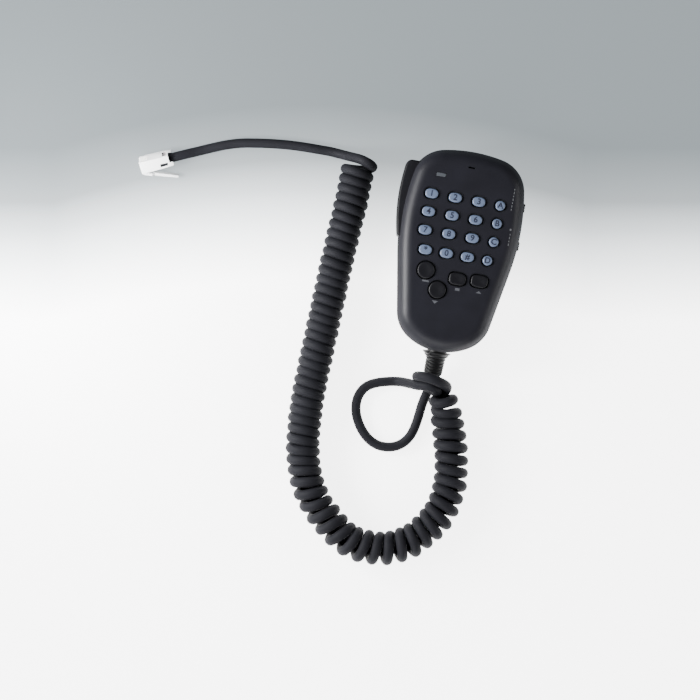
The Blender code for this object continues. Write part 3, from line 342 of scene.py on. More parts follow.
def moulded(name, color, roughness, grain, bump, mottle=0.1, specular=0.5):
    """Moulded plastic or rubber: fine grain in its bump, slight mottling in colour and gloss.

    grain is the size of the grain in mm, bump its height in mm, and mottle the colour variation.
    """
    mat = bpy.data.materials.new(name)
    mat.use_nodes = True
    tree = mat.node_tree
    shader = tree.nodes["Principled BSDF"]
    shader.inputs["Specular IOR Level"].default_value = specular
    place = tree.nodes.new("ShaderNodeTexCoord")
    fine = tree.nodes.new("ShaderNodeTexNoise")
    fine.inputs["Scale"].default_value = 1.0 / (grain * MM)
    fine.inputs["Detail"].default_value = 3.0
    broad = tree.nodes.new("ShaderNodeTexNoise")
    broad.inputs["Scale"].default_value = MOTTLE_SCALE
    broad.inputs["Detail"].default_value = 4.0
    tree.links.new(place.outputs["Object"], fine.inputs["Vector"])
    tree.links.new(place.outputs["Object"], broad.inputs["Vector"])
    tint = tree.nodes.new("ShaderNodeValToRGB")
    low = [channel * (1 - mottle) for channel in color]
    high = [min(1.0, channel * (1 + mottle)) for channel in color]
    tint.color_ramp.elements[0].position = 0.3
    tint.color_ramp.elements[0].color = (*low, 1)
    tint.color_ramp.elements[1].position = 0.7
    tint.color_ramp.elements[1].color = (*high, 1)
    tree.links.new(broad.outputs["Fac"], tint.inputs["Fac"])
    tree.links.new(tint.outputs["Color"], shader.inputs["Base Color"])
    gloss = tree.nodes.new("ShaderNodeMapRange")
    gloss.inputs["To Min"].default_value = roughness - GLOSS_SPREAD
    gloss.inputs["To Max"].default_value = roughness + GLOSS_SPREAD
    tree.links.new(fine.outputs["Fac"], gloss.inputs["Value"])
    tree.links.new(gloss.outputs["Result"], shader.inputs["Roughness"])
    raised = tree.nodes.new("ShaderNodeBump")
    raised.inputs["Strength"].default_value = 1.0
    raised.inputs["Distance"].default_value = bump * MM
    tree.links.new(fine.outputs["Fac"], raised.inputs["Height"])
    tree.links.new(raised.outputs["Normal"], shader.inputs["Normal"])
    return mat


def metal(name, color, roughness):
    """Plated metal with fine turned or brushed marks."""
    mat = moulded(name, color, roughness, 0.25, 0.004, 0.06)
    tree = mat.node_tree
    tree.nodes["Principled BSDF"].inputs["Metallic"].default_value = 1.0
    stretch = tree.nodes.new("ShaderNodeMapping")
    stretch.inputs["Scale"].default_value = (1.0, 1.0, METAL_STREAK)
    coords = next(node for node in tree.nodes if node.type == "TEX_COORD")
    fine = next(node for node in tree.nodes if node.type == "TEX_NOISE")
    tree.links.new(coords.outputs["Object"], stretch.inputs["Vector"])
    tree.links.new(stretch.outputs["Vector"], fine.inputs["Vector"])
    return mat


def clear_plastic(name, color, roughness, transmission):
    mat = moulded(name, color, roughness, 1.5, 0.01, 0.03)
    shader = mat.node_tree.nodes["Principled BSDF"]
    shader.inputs["Transmission Weight"].default_value = transmission
    shader.inputs["IOR"].default_value = CLEAR_IOR
    return mat


def matt_sides(mat, extra):
    """Make the surface rougher, by up to extra, where it turns from facing up to facing sideways."""
    tree = mat.node_tree
    gloss = next(node for node in tree.nodes if node.type == "MAP_RANGE")
    surface = tree.nodes.new("ShaderNodeNewGeometry")
    parts = tree.nodes.new("ShaderNodeSeparateXYZ")
    fade = tree.nodes.new("ShaderNodeMapRange")
    fade.inputs["From Min"].default_value = 0.1
    fade.inputs["From Max"].default_value = 0.75
    fade.inputs["To Min"].default_value = extra
    fade.inputs["To Max"].default_value = 0.0
    total = tree.nodes.new("ShaderNodeMath")
    tree.links.new(surface.outputs["Normal"], parts.inputs["Vector"])
    tree.links.new(parts.outputs["Z"], fade.inputs["Value"])
    tree.links.new(gloss.outputs["Result"], total.inputs[0])
    tree.links.new(fade.outputs["Result"], total.inputs[1])
    tree.links.new(total.outputs["Value"], tree.nodes["Principled BSDF"].inputs["Roughness"])


BODY = moulded("grained_charcoal", (0.0085, 0.0085, 0.0118), 0.42, 0.16, 0.02, 0.12, 0.165)
matt_sides(BODY, 0.5)
LEVER = moulded("grained_black", (0.0045, 0.0045, 0.006), 0.5, 0.16, 0.02, 0.12, 0.12)
KEYS = moulded("pale_key", (0.08, 0.105, 0.165), 0.35, 0.3, 0.003, 0.04)
FUNCTION = moulded("gloss_black", (0.0035, 0.0035, 0.005), 0.45, 0.5, 0.004, 0.1, 0.2)
RUBBER = moulded("black_rubber", (0.003, 0.003, 0.0035), 0.45, 0.2, 0.01, 0.15, 0.15)
BOOT_RUBBER = moulded("boot_rubber", (0.003, 0.003, 0.0035), 0.45, 0.2, 0.004, 0.1, 0.22)
JACKET = moulded("cord_jacket", (0.0105, 0.0106, 0.0130), 0.6, 0.35, 0.01, 0.12, 0.05)
INK = moulded("navy_print", (0.003, 0.004, 0.014), 0.5, 0.2, 0.002, 0.05)
PRINT = moulded("white_print", (0.05, 0.052, 0.06), 0.5, 0.2, 0.002, 0.05)
SIDE_PRINT = moulded("grey_print", (0.09, 0.093, 0.1), 0.5, 0.2, 0.002, 0.05)
CLEAR = clear_plastic("clear_plug", (0.97, 0.98, 0.98), 0.12, 0.1)
LENS = clear_plastic("lamp_window", (0.06, 0.065, 0.075), 0.25, 0.2)
STEEL = metal("plated_steel", (0.62, 0.62, 0.63), 0.28)
BLACK_STEEL = metal("black_screw", (0.03, 0.03, 0.032), 0.35)
GOLD = metal("gold_contact", (0.83, 0.6, 0.25), 0.25)
BOARD = moulded("green_board", (0.015, 0.11, 0.05), 0.35, 0.4, 0.005, 0.1)
BLACK_PLASTIC = moulded("black_nylon", (0.012, 0.012, 0.014), 0.4, 0.2, 0.006, 0.1)
# Near-black painted shade: it darkens the cut faces of the key wells, the sound slot and the window opening,
# the parts seen through the slot, and one clamp pocket in the plug.
SHADE_BLACK = moulded("painted_shade_black", (0.002, 0.0025, 0.006), 0.6, 0.2, 0.004, 0.1)
# Grey painted shade in the plug's core clamp pocket.
CLAMP_PAINTED_SHADE = moulded("clamp_painted_shade", (0.3, 0.27, 0.28), 0.6, 0.2, 0.002, 0.05)
WHITE_PLASTIC = moulded("white_nylon", (0.72, 0.72, 0.68), 0.4, 0.25, 0.006, 0.04)


# ---------------------------------------------------------------- mesh helpers

def link(obj):
    bpy.context.scene.collection.objects.link(obj)
    return obj


def face_outwards(bm):
    """Turn every face of a closed mesh outwards."""
    bmesh.ops.recalc_face_normals(bm, faces=bm.faces)
    if bm.calc_volume(signed=True) < 0:
        bmesh.ops.reverse_faces(bm, faces=bm.faces)


def mesh_piece(name, bm, mat):
    face_outwards(bm)
    mesh = bpy.data.meshes.new(name)
    bm.to_mesh(mesh)
    bm.free()
    mesh.shade_smooth()
    mesh.set_sharp_from_angle(angle=SHARP_ANGLE)
    mesh.materials.append(mat)
    return link(bpy.data.objects.new(name, mesh))


def add_loft(bm, rings, cap_first=True):
    """Join rings of equal length with quads, and close the last end, and the first if asked for."""
    rows = [[bm.verts.new(point) for point in ring] for ring in rings]
    count = len(rows[0])
    for lower, upper in zip(rows, rows[1:]):
        for i in range(count):
            j = (i + 1) % count
            bm.faces.new((lower[i], lower[j], upper[j], upper[i]))
    if cap_first:
        bm.faces.new(list(reversed(rows[0])))
    bm.faces.new(rows[-1])


def add_box(bm, low, high):
    size = Vector(high) - Vector(low)
    centre = (Vector(high) + Vector(low)) / 2
    place = Matrix.Translation(centre) @ Matrix.Diagonal((*size, 1.0))
    bmesh.ops.create_cube(bm, size=1.0, matrix=place)


def add_cylinder(bm, centre, radius, low, high, axis="Z"):
    """A closed cylinder from low to high along an axis; centre holds the other two coordinates."""
    middle = (low + high) / 2
    place = Matrix.Translation((centre[0], centre[1], middle))
    if axis == "Y":
        place = Matrix.Translation((centre[0], middle, centre[1])) @ Matrix.Rotation(math.pi / 2, 4, "X")
    bmesh.ops.create_cone(bm, cap_ends=True, segments=48, radius1=radius, radius2=radius,
                          depth=high - low, matrix=place)


def cut_out(obj, bm, mat=None):
    """Cut a mesh out of obj and keep the result; mat is for the faces that this makes."""
    face_outwards(bm)
    mesh = bpy.data.meshes.new("tool")
    bm.to_mesh(mesh)
    bm.free()
    mesh.materials.append(mat or obj.data.materials[0])
    tool = link(bpy.data.objects.new("tool", mesh))
    mod = obj.modifiers.new("cut", "BOOLEAN")
    mod.operation = "DIFFERENCE"
    mod.solver = "EXACT"
    mod.material_mode = "TRANSFER"
    mod.object = tool
    bpy.context.view_layer.update()
    depsgraph = bpy.context.evaluated_depsgraph_get()
    result = bpy.data.meshes.new_from_object(obj.evaluated_get(depsgraph))
    obj.modifiers.clear()
    obj.data = result
    bpy.data.objects.remove(tool)
    result.set_sharp_from_angle(angle=SHARP_ANGLE)


def place_piece(obj, body, slot, *nodes):
    """Ride on a body and stand for CAD nodes. The slot is not used."""
    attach(obj, body)
    if nodes:
        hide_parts(*nodes)


# ---------------------------------------------------------------- curves

def arc(centre, radius, start, end, steps):
    """Points on an arc, both ends included."""
    points = []
    for i in range(steps + 1):
        angle = start + (end - start) * i / steps
        points.append((centre[0] + radius * math.cos(angle), centre[1] + radius * math.sin(angle)))
    return points


def tangent_centre(centre_a, radius_a, centre_b, radius_b, radius):
    """Centre of the arc of the given radius that blends two larger arcs from inside."""
    reach_a = radius_a - radius
    reach_b = radius_b - radius
    delta = Vector(centre_b) - Vector(centre_a)
    along = (reach_a ** 2 - reach_b ** 2 + delta.length_squared) / (2 * delta.length)
    across = math.sqrt(reach_a ** 2 - along ** 2)
    unit = delta.normalized()
    normal = Vector((-unit.y, unit.x))
    options = [Vector(centre_a) + unit * along + normal * across * sign for sign in (1, -1)]
    return max(options, key=lambda point: point.x)


def foot_corner_centre(side_centre, foot_centre):
    """Centre of the arc that blends the straight taper into the foot arc."""
    normal = Vector((math.cos(TAPER), -math.sin(TAPER)))
    down = Vector((-math.sin(TAPER), -math.cos(TAPER)))
    start = side_centre + normal * (SIDE_RADIUS - FOOT_CORNER_RADIUS)
    offset = start - foot_centre
    half = offset.dot(down)
    rest = offset.length_squared - (FOOT_RADIUS - FOOT_CORNER_RADIUS) ** 2
    return start + down * (-half + math.sqrt(half ** 2 - rest))


def outline(inset=0.0):
    """The body outline as (x, y) points, anticlockwise, moved inwards by inset."""
    head = Vector((0, HEAD_Y - HEAD_RADIUS))
    side = Vector((SIDE_X - SIDE_RADIUS, SIDE_Y))
    foot = Vector((0, FOOT_Y + FOOT_RADIUS))
    corner = tangent_centre(head, HEAD_RADIUS, side, SIDE_RADIUS, HEAD_CORNER_RADIUS)
    foot_corner = foot_corner_centre(side, foot)
    head_angle = math.atan2(corner.y - head.y, corner.x - head.x)
    side_angle = math.atan2(corner.y - side.y, corner.x - side.x)
    foot_angle = math.atan2(foot_corner.y - foot.y, foot_corner.x - foot.x)
    right = arc(foot, FOOT_RADIUS - inset, -math.pi / 2, foot_angle, 10)
    right += arc(foot_corner, FOOT_CORNER_RADIUS - inset, foot_angle, -TAPER, 16)[1:]
    right += arc(side, SIDE_RADIUS - inset, -TAPER, side_angle, 14)
    right += arc(corner, HEAD_CORNER_RADIUS - inset, side_angle, head_angle, 18)[1:]
    right += arc(head, HEAD_RADIUS - inset, head_angle, math.pi / 2, 10)[1:]
    left = [(-x, y) for x, y in reversed(right[1:-1])]
    return right + left


def half_width(y):
    """Half-width of the body at a height y between the taper and the head corner."""
    return SIDE_X - SIDE_RADIUS + math.sqrt(SIDE_RADIUS ** 2 - (y - SIDE_Y) ** 2)


def rounded_oval(width, height, squareness, grow=0.0):
    """Points of a superellipse, grown outwards by grow."""
    count = 64
    points = []
    for i in range(count):
        angle = 2 * math.pi * i / count
        cos = math.cos(angle)
        sin = math.sin(angle)
        x = math.copysign(abs(cos) ** (2 / squareness), cos) * (width / 2 + grow)
        y = math.copysign(abs(sin) ** (2 / squareness), sin) * (height / 2 + grow)
        points.append((x, y))
    return points


def smooth_curve(knots, steps=16):
    """Closely spaced points on a smooth curve through the knots."""
    fine = []
    for i in range(len(knots) - 1):
        before = knots[max(i - 1, 0)]
        start = knots[i]
        end = knots[i + 1]
        after = knots[min(i + 2, len(knots) - 1)]
        for step in range(steps):
            t = step / steps
            point = 2 * start + (end - before) * t
            point = point + (2 * before - 5 * start + 4 * end - after) * t ** 2
            point = point + (3 * start - before - 3 * end + after) * t ** 3
            fine.append(point / 2)
    fine.append(knots[-1])
    return fine


def evenly(points, spacing):
    """The same path with evenly spaced points."""
    lengths = [0.0]
    for first, second in zip(points, points[1:]):
        lengths.append(lengths[-1] + (second - first).length)
    count = max(2, round(lengths[-1] / spacing))
    result = []
    i = 0
    for k in range(count + 1):
        target = lengths[-1] * k / count
        while i < len(points) - 2 and lengths[i + 1] < target:
            i += 1
        part = (target - lengths[i]) / (lengths[i + 1] - lengths[i])
        result.append(points[i].lerp(points[i + 1], min(part, 1.0)))
    return result


def run_length(points):
    return sum((second - first).length for first, second in zip(points, points[1:]))


def route(points_mm):
    return [Vector(point) * MM for point in points_mm]


def curve_piece(name, points, radii, mat, sides):
    """A tube along points, with a radius for each point."""
    curve = bpy.data.curves.new(name, "CURVE")
    curve.dimensions = "3D"
    curve.bevel_depth = 1.0
    curve.bevel_resolution = sides
    curve.use_fill_caps = True
    spline = curve.splines.new("POLY")
    spline.points.add(len(points) - 1)
    for i, point in enumerate(points):
        spline.points[i].co = (*point, 1.0)
        spline.points[i].radius = radii[i]
    spline.use_smooth = True
    curve.materials.append(mat)
    return link(bpy.data.objects.new(name, curve))


# ---------------------------------------------------------------- cord

def pitch_at(part):
    """Distance between turns of the coil, in metres, part of the way along it."""
    for (low, low_pitch), (high, high_pitch) in zip(COIL_TURNS, COIL_TURNS[1:]):
        if part <= high:
            mix = (part - low) / (high - low)
            return (low_pitch + (high_pitch - low_pitch) * mix) * MM
    return COIL_TURNS[-1][1] * MM


def coil_points(axis):
    """A left-handed helix around an axis, starting and ending at its side, with slightly uneven turns."""
    fine = evenly(axis, 0.1 * MM)
    step = (fine[1] - fine[0]).length
    turns = [0.0]
    for i in range(1, len(fine)):
        turns.append(turns[-1] + step / pitch_at(i / len(fine)))
    whole = round(turns[-1])
    scale = whole / turns[-1]
    points = []
    for i in range(0, len(fine), 2):
        ahead = fine[min(i + 3, len(fine) - 1)]
        behind = fine[max(i - 3, 0)]
        along = (ahead - behind).normalized()
        side = along.cross(Vector((0, 0, 1))).normalized()
        up = side.cross(along)
        turn = turns[i] * scale
        angle = 2 * math.pi * turn
        uneven = COIL_UNEVEN[0] * math.sin(turn * 1.9) + COIL_UNEVEN[1] * math.sin(turn * 3.3 + 1.0)
        widening = min(1.0, turn / COIL_WIDENING_TURNS)
        radius = COIL_START_RADIUS + (COIL_WIRE_RADIUS - COIL_START_RADIUS) * widening + uneven * MM
        sway = COIL_SWAY * math.sin(turn * 1.3 + 0.5) * math.sin(angle) * MM
        across = side * radius * math.cos(angle)
        rise = up * radius * math.sin(angle)
        points.append(fine[i] + across + rise + along * sway)
    return points


def add_cord():
    """The whole cord as one run: the loop, the tangled turns, the coil and the lead into the plug."""
    coil = coil_points(smooth_curve(route(COIL_ROUTE)))
    start = route(LEAD_MIC_ROUTE) + route(KNOT_ROUTE)
    start = smooth_curve(start + [coil[0]])[:-1]
    end = smooth_curve([coil[-1]] + route(LEAD_PLUG_ROUTE))[1:]
    path = evenly(start + coil + end, CORD_STEP)
    before = run_length(start)
    after = run_length(start + coil)
    total = run_length(start + coil + end)
    radii = []
    for i in range(len(path)):
        along = total * i / (len(path) - 1)
        coiled = max(0.0, min(1.0, (along - before) / CORD_BLEND + 1, (after - along) / CORD_BLEND))
        radii.append(CORD_RADIUS + (COIL_CORD_RADIUS - CORD_RADIUS) * coiled)
    cord = curve_piece("cord", path, radii, JACKET, sides=4)
    place_piece(cord, "body", "cord_jacket", "cord_lead_mic", "curly_cord", "cord_lead_plug")
    return cord


def boot_radius(distance, length):
    """Radius of the ribbed strain relief along its length, from its inner flange outwards."""
    if distance < BOOT_FLANGE_END:
        return BOOT_RADIUS + BOOT_FLANGE
    beyond = distance - BOOT_COLLAR_START
    if beyond < 0:
        return BOOT_RADIUS - 0.1 * MM
    spread = BOOT_COLLAR * max(0.0, 1 - beyond / BOOT_FLARE) ** 1.6
    taper = BOOT_TAPER * beyond / (length - BOOT_COLLAR_START)
    rib = 0.5 + 0.5 * math.cos(2 * math.pi * beyond / BOOT_RIB_PITCH)
    groove = BOOT_RIB * min(1.0, max(0.0, beyond - 0.6 * MM) / BOOT_FLARE) ** 0.5
    return BOOT_RADIUS + spread - taper - groove * (1 - rib ** 1.5)


def add_boot():
    points = evenly(smooth_curve(route(BOOT_ROUTE)), 0.1 * MM)
    length = run_length(points)
    radii = [boot_radius(length * i / (len(points) - 1), length) for i in range(len(points))]
    boot = curve_piece("boot", points, radii, BOOT_RUBBER, sides=6)
    place_piece(boot, "body", "black_rubber", "strain_relief")


# ---------------------------------------------------------------- housing

def rounded_levels(inset_from, inset_to, z_from, z_to, steps):
    """Rounded edge of a cover: (inset, z) pairs on a quarter ellipse."""
    pairs = []
    for i in range(1, steps + 1):
        angle = math.pi / 2 * i / steps
        inset = inset_from + (inset_to - inset_from) * (1 - math.cos(angle))
        pairs.append((inset, z_from + (z_to - z_from) * math.sin(angle)))
    return pairs


def cover_shell(name, levels):
    """A dished shell through the body outline at (inset, z) levels, given its wall."""
    bm = bmesh.new()
    add_loft(bm, [[(x, y, z) for x, y in outline(inset)] for inset, z in levels], cap_first=False)
    if levels[-1][1] < levels[0][1]:
        bmesh.ops.reverse_faces(bm, faces=bm.faces)
    mesh = bpy.data.meshes.new(name)
    bm.to_mesh(mesh)
    bm.free()
    mesh.shade_smooth()
    mesh.materials.append(BODY)
    obj = link(bpy.data.objects.new(name, mesh))
    mod = obj.modifiers.new("wall", "SOLIDIFY")
    mod.thickness = WALL
    mod.offset = -1
    mod.use_even_offset = True
    return obj


def key_places():
    """Name, centre and size of each of the sixteen keypad keys."""
    places = []
    for i, label in enumerate(KEY_NAMES):
        row = i // 4
        column = i % 4
        x = LAST_ROW_X[column] if row == 3 else COLUMN_X[column]
        size = ROUND_KEY_SIZE if column == 3 else KEY_SIZE
        squareness = 2.0 if column == 3 else 2.5
        places.append(("key_" + label, x, ROW_Y[row], size[0], size[1], squareness))
    return places


def add_well(bm, x, y, width, height, squareness, well):
    """A key's opening: a plain hole with a bevelled well around its top."""
    levels = ((KEY_GAP, -4 * MM), (KEY_GAP, -KEY_WELL_DEPTH), (well - KEY_WELL_SLOPE, -KEY_WELL_DEPTH),
              (well, 0), (well, 0.6 * MM))
    rings = []
    for grow, z in levels:
        points = rounded_oval(width, height, squareness, grow)
        rings.append([(x + px, y + py, FACE_Z + z) for px, py in points])
    add_loft(bm, rings)


def side_openings():
    """Openings that both covers share: the lever's, the two switches' and the cord's."""
    bm = bmesh.new()
    outside = -40 * MM
    low = PTT_LOW_Y - PTT_GAP
    high = PTT_TOP_Y + PTT_TOP_GAP
    inner = PTT_INNER_X + PTT_SWING_ROOM
    top_inner = PTT_TOP_INNER_X + PTT_SWING_ROOM
    opening = ((outside, low), (inner, low), (inner, PTT_TOP_INNER_Y), (top_inner, PTT_TOP_INNER_Y),
               (top_inner, high), (outside, high))
    add_loft(bm, [[(x, y, z) for x, y in opening] for z in (PTT_Z[0] - PTT_GAP, PTT_Z[1] + PTT_GAP)])
    side = KNOB_HALF_LENGTH + KNOB_GAP
    rise = KNOB_HALF_HEIGHT + KNOB_GAP
    for _, y in SWITCHES:
        low_corner = (27 * MM, y - side, PARTING_Z - rise)
        high_corner = (34 * MM, y + side + SWITCH_TRAVEL, PARTING_Z + rise)
        add_box(bm, low_corner, high_corner)
    add_cylinder(bm, (0, EXIT_Z), BOOT_RADIUS + 0.3 * MM, -62 * MM, -46 * MM, axis="Y")
    return bm


def add_front_cover():
    joint_z = PARTING_Z + PARTING_GAP / 2
    levels = [(PARTING_BEVEL, joint_z), (0.0, joint_z + PARTING_BEVEL), (DRAFT, SHOULDER_Z)]
    levels += rounded_levels(DRAFT, SHOULDER_INSET, SHOULDER_Z, FACE_Z, EDGE_STEPS)
    cover = cover_shell("front_shell", levels)
    holes = bmesh.new()
    for _, x, y, width, height, squareness in key_places():
        add_well(holes, x, y, width, height, squareness, KEY_WELL)
    for _, x, y, width, height, squareness in FUNCTION_KEYS:
        add_well(holes, x, y, width, height, squareness, FUNCTION_WELL)
    for (x, y), (width, height) in ((WINDOW_XY, WINDOW_SIZE), (SLOT_XY, SLOT_SIZE)):
        add_box(holes, (x - width / 2, y - height / 2, 26 * MM), (x + width / 2, y + height / 2, 32 * MM))
    # The cut faces of the wells, the window and the slot take the near-black painted shade.
    cut_out(cover, holes, mat=SHADE_BLACK)
    cut_out(cover, side_openings())
    place_piece(cover, "body", "body_plastic", "front_cover")


def turned_rings(x, y, profile, count):
    """Rings around a vertical axis at x, y for a profile of (radius, height) in mm."""
    rings = []
    for radius, z in profile:
        ring = arc((x, y), radius * MM, 0, 2 * math.pi * (count - 1) / count, count - 1)
        rings.append([(px, py, z * MM) for px, py in ring])
    return rings


def add_rear_cover():
    joint_z = PARTING_Z - PARTING_GAP / 2
    levels = [(PARTING_BEVEL, joint_z), (0.0, joint_z - PARTING_BEVEL), (DRAFT, BACK_EDGE_Z)]
    levels += rounded_levels(DRAFT, BACK_INSET, BACK_EDGE_Z, BACK_Z, EDGE_STEPS)
    cover = cover_shell("rear_shell", levels)
    holes = bmesh.new()
    for x, y in COVER_SCREWS:
        add_loft(holes, turned_rings(x, y, COUNTERBORE, 48))
    add_cylinder(holes, (0, 0), HANGER_HOLE_RADIUS, 4 * MM, 9 * MM)
    cut_out(cover, holes)
    cut_out(cover, side_openings())
    place_piece(cover, "body", "body_plastic", "rear_cover")


# ---------------------------------------------------------------- keys and prints

def add_key(name, x, y, width, height, squareness, mat, slot, dish=0.0):
    """A key with a softly rounded edge; dish is how deep its top is hollowed."""
    levels = [(0.0, KEY_BOTTOM_Z)]
    for i in range(7):
        angle = i * math.pi / 12
        inset = KEY_EDGE[0] * (1 - math.cos(angle))
        levels.append((-inset, KEY_TOP_Z - KEY_EDGE[1] * (1 - math.sin(angle))))
    rings = []
    for grow, z in levels:
        rings.append([(x + px, y + py, z) for px, py in rounded_oval(width, height, squareness, grow)])
    for shrink, drop in ((0.55, 0.25), (0.25, 0.75)):
        points = rounded_oval(width * shrink, height * shrink, squareness)
        rings.append([(x + px, y + py, KEY_TOP_Z - dish * drop) for px, py in points])
    bm = bmesh.new()
    add_loft(bm, rings)
    key = mesh_piece(name + "_cap", bm, mat)
    place_piece(key, name, slot, name)


def add_print(name, text, x, y, z, size, body, slot, mat):
    """A flat printed character, centred."""
    font = bpy.data.curves.new(name, "FONT")
    font.body = text
    font.size = size
    font.align_x = "CENTER"
    font.align_y = "CENTER"
    font.extrude = 0.012 * MM
    font.offset = 0.08 * MM
    font.materials.append(mat)
    obj = link(bpy.data.objects.new(name, font))
    obj.location = (x, y, z)
    place_piece(obj, body, slot)


def add_mark(name, points):
    """A flat mark printed on the face: a polygon with a hair of thickness."""
    low = [(x, y, FACE_Z - 0.05 * MM) for x, y in points]
    high = [(x, y, FACE_Z + 0.02 * MM) for x, y in points]
    bm = bmesh.new()
    add_loft(bm, [low, high])
    mark = mesh_piece(name, bm, PRINT)
    place_piece(mark, "body", "white_plastic")


def add_keys():
    for name, x, y, width, height, squareness in key_places():
        add_key(name, x, y, width, height, squareness, KEYS, "key_plastic")
        label = name.removeprefix("key_")
        text = KEY_MARKS.get(label, label.upper())
        add_print(name + "_print", text, x, y, KEY_TOP_Z + 0.03 * MM, DIGIT_SIZE, name, "key_plastic", INK)
    for name, x, y, width, height, squareness in FUNCTION_KEYS:
        add_key(name, x, y, width, height, squareness, FUNCTION, "function_key_plastic", FUNCTION_DISH)


# ---------------------------------------------------------------- push-to-talk lever

def lever_outline(inset):
    """The lever seen from the front, anticlockwise, with its outer edges moved in by inset."""
    centre = (PTT_REACH_X + PTT_ARC_RADIUS, PTT_ARC_Y)
    radius = PTT_ARC_RADIUS - inset
    top = PTT_TOP_Y - inset
    low = PTT_LOW_Y + inset
    corner_y = PTT_TOP_Y - PTT_CORNER

    def outer_x(y):
        return centre[0] - math.sqrt(radius ** 2 - (y - centre[1]) ** 2)

    points = [(PTT_TOP_INNER_X, top)]
    corner_x = outer_x(corner_y) + PTT_CORNER * 0.75 - inset * 0.75
    for i in range(13):
        angle = math.pi / 2 * (1 + i / 12)
        x = corner_x + (PTT_CORNER - inset) * 0.75 * math.cos(angle)
        points.append((x, corner_y + (PTT_CORNER - inset) * math.sin(angle)))
    steps = 40
    for i in range(1, steps + 1):
        y = corner_y + (low + 0.8 * MM - corner_y) * i / steps
        points.append((outer_x(y), y))
    points.append((outer_x(low) + 0.25 * MM, low + 0.3 * MM))
    points.append((outer_x(low) + 0.8 * MM, low))
    points.append((PTT_INNER_X, low))
    points.append((PTT_INNER_X, PTT_TOP_INNER_Y))
    return points


def add_lever():
    levels = []
    for i in range(7):
        angle = math.pi / 2 * i / 6
        levels.append((PTT_EDGE * (1 - math.sin(angle)), PTT_Z[0] + PTT_EDGE * (1 - math.cos(angle))))
    levels += [(inset, PTT_Z[0] + PTT_Z[1] - z) for inset, z in reversed(levels)]
    bm = bmesh.new()
    add_loft(bm, [[(x, y, z) for x, y in lever_outline(inset)] for inset, z in levels])
    lever = mesh_piece("lever_shell", bm, LEVER)
    place_piece(lever, "ptt_lever", "black_plastic", "ptt_lever")


# ---------------------------------------------------------------- slide switches

def add_knob(name, y):
    """A slide switch's knob, with fine grip ridges across it."""
    reach = half_width(y) + KNOB_PROUD
    bm = bmesh.new()
    height = KNOB_HALF_HEIGHT - 0.15 * MM
    add_box(bm, (KNOB_INNER_X, y - KNOB_HALF_LENGTH, PARTING_Z - KNOB_HALF_HEIGHT),
            (reach - 0.35 * MM, y + KNOB_HALF_LENGTH, PARTING_Z + KNOB_HALF_HEIGHT))
    for i in range(5):
        ridge = y + (i - 2) * RIDGE_PITCH
        rings = []
        for depth, half in RIDGES:
            x = reach - depth
            rings.append([(x, ridge - half, PARTING_Z - height), (x, ridge + half, PARTING_Z - height),
                          (x, ridge + half, PARTING_Z + height), (x, ridge - half, PARTING_Z + height)])
        add_loft(bm, rings)
    knob = mesh_piece(name + "_slider", bm, LEVER)
    place_piece(knob, name + "_knob", "black_plastic", name + "_knob")


# ---------------------------------------------------------------- window, slot and marks

def add_window():
    x, y = WINDOW_XY
    bm = bmesh.new()
    rings = []
    for shrink, z in WINDOW_LEVELS:
        points = rounded_oval(WINDOW_SIZE[0], WINDOW_SIZE[1], 6, -shrink * MM)
        rings.append([(x + px, y + py, z * MM) for px, py in points])
    add_loft(bm, rings)
    window = mesh_piece("window", bm, LENS)
    place_piece(window, "body", "clear_plastic", "indicator_lens")


def bar(x, y, width, height):
    """Corners of an upright rectangle around x, y."""
    return [(x - width / 2, y - height / 2), (x + width / 2, y - height / 2),
            (x + width / 2, y + height / 2), (x - width / 2, y + height / 2)]


def shoulder_z(x, y):
    """Height of the front cover's rounded shoulder at a point."""
    inset = half_width(y) - abs(x)
    cosine = 1 - (inset - DRAFT) / (SHOULDER_INSET - DRAFT)
    return SHOULDER_Z + (FACE_Z - SHOULDER_Z) * math.sqrt(1 - min(1.0, max(0.0, cosine)) ** 2)


def add_side_marks():
    """Generic printed dashes beside the two slide switches, and a dot at the lower one."""
    shapes = []
    for x, top, count in SIDE_DASHES:
        for i in range(count):
            shapes.append((x, top - i * SIDE_DASH_PITCH, SIDE_DASH_WIDTH, SIDE_DASH_LENGTHS[i % 2]))
    shapes.append(SIDE_DOT)
    bm = bmesh.new()
    for x, y, width, length in shapes:
        corners = [(px * MM, py * MM) for px, py in bar(x, y, width, length)]
        rings = []
        for lift in (-0.08 * MM, 0.03 * MM):
            rings.append([(px, py, shoulder_z(px, py) + lift) for px, py in corners])
        add_loft(bm, rings)
    marks = mesh_piece("side_marks", bm, SIDE_PRINT)
    place_piece(marks, "body", "white_plastic")


def add_marks():
    """Generic printed marks under the function keys."""
    add_mark("mark_f1", bar(-13.1 * MM, -22.7 * MM, 3.4 * MM, 0.9 * MM))
    triangle = [(-8.1 * MM, -31.9 * MM), (-6.5 * MM, -33.5 * MM), (-4.9 * MM, -31.9 * MM)]
    add_mark("mark_f2", triangle)
    add_mark("mark_f3", bar(3.8 * MM, -24.2 * MM, 2.4 * MM, 1.3 * MM))
    triangle = [(13.4 * MM, -24.3 * MM), (16.4 * MM, -24.3 * MM), (14.9 * MM, -23.0 * MM)]
    add_mark("mark_f4", triangle)


# ---------------------------------------------------------------- back

def add_screws():
    """Screw heads with cross recesses, down in the rear cover's counterbores."""
    for number, (x, y) in enumerate(COVER_SCREWS, start=1):
        bm = bmesh.new()
        add_loft(bm, turned_rings(x, y, SCREW_PROFILE, 32))
        screw = mesh_piece("screw_" + str(number), bm, BLACK_STEEL)
        for half_x, half_y, top in SCREW_CROSS:
            slot = bmesh.new()
            add_box(slot, (x - half_x * MM, y - half_y * MM, SCREW_CROSS_BOTTOM * MM),
                    (x + half_x * MM, y + half_y * MM, top * MM))
            cut_out(screw, slot)
        place_piece(screw, "body", "black_screw", "cover_screw_" + str(number))


# ---------------------------------------------------------------- plug

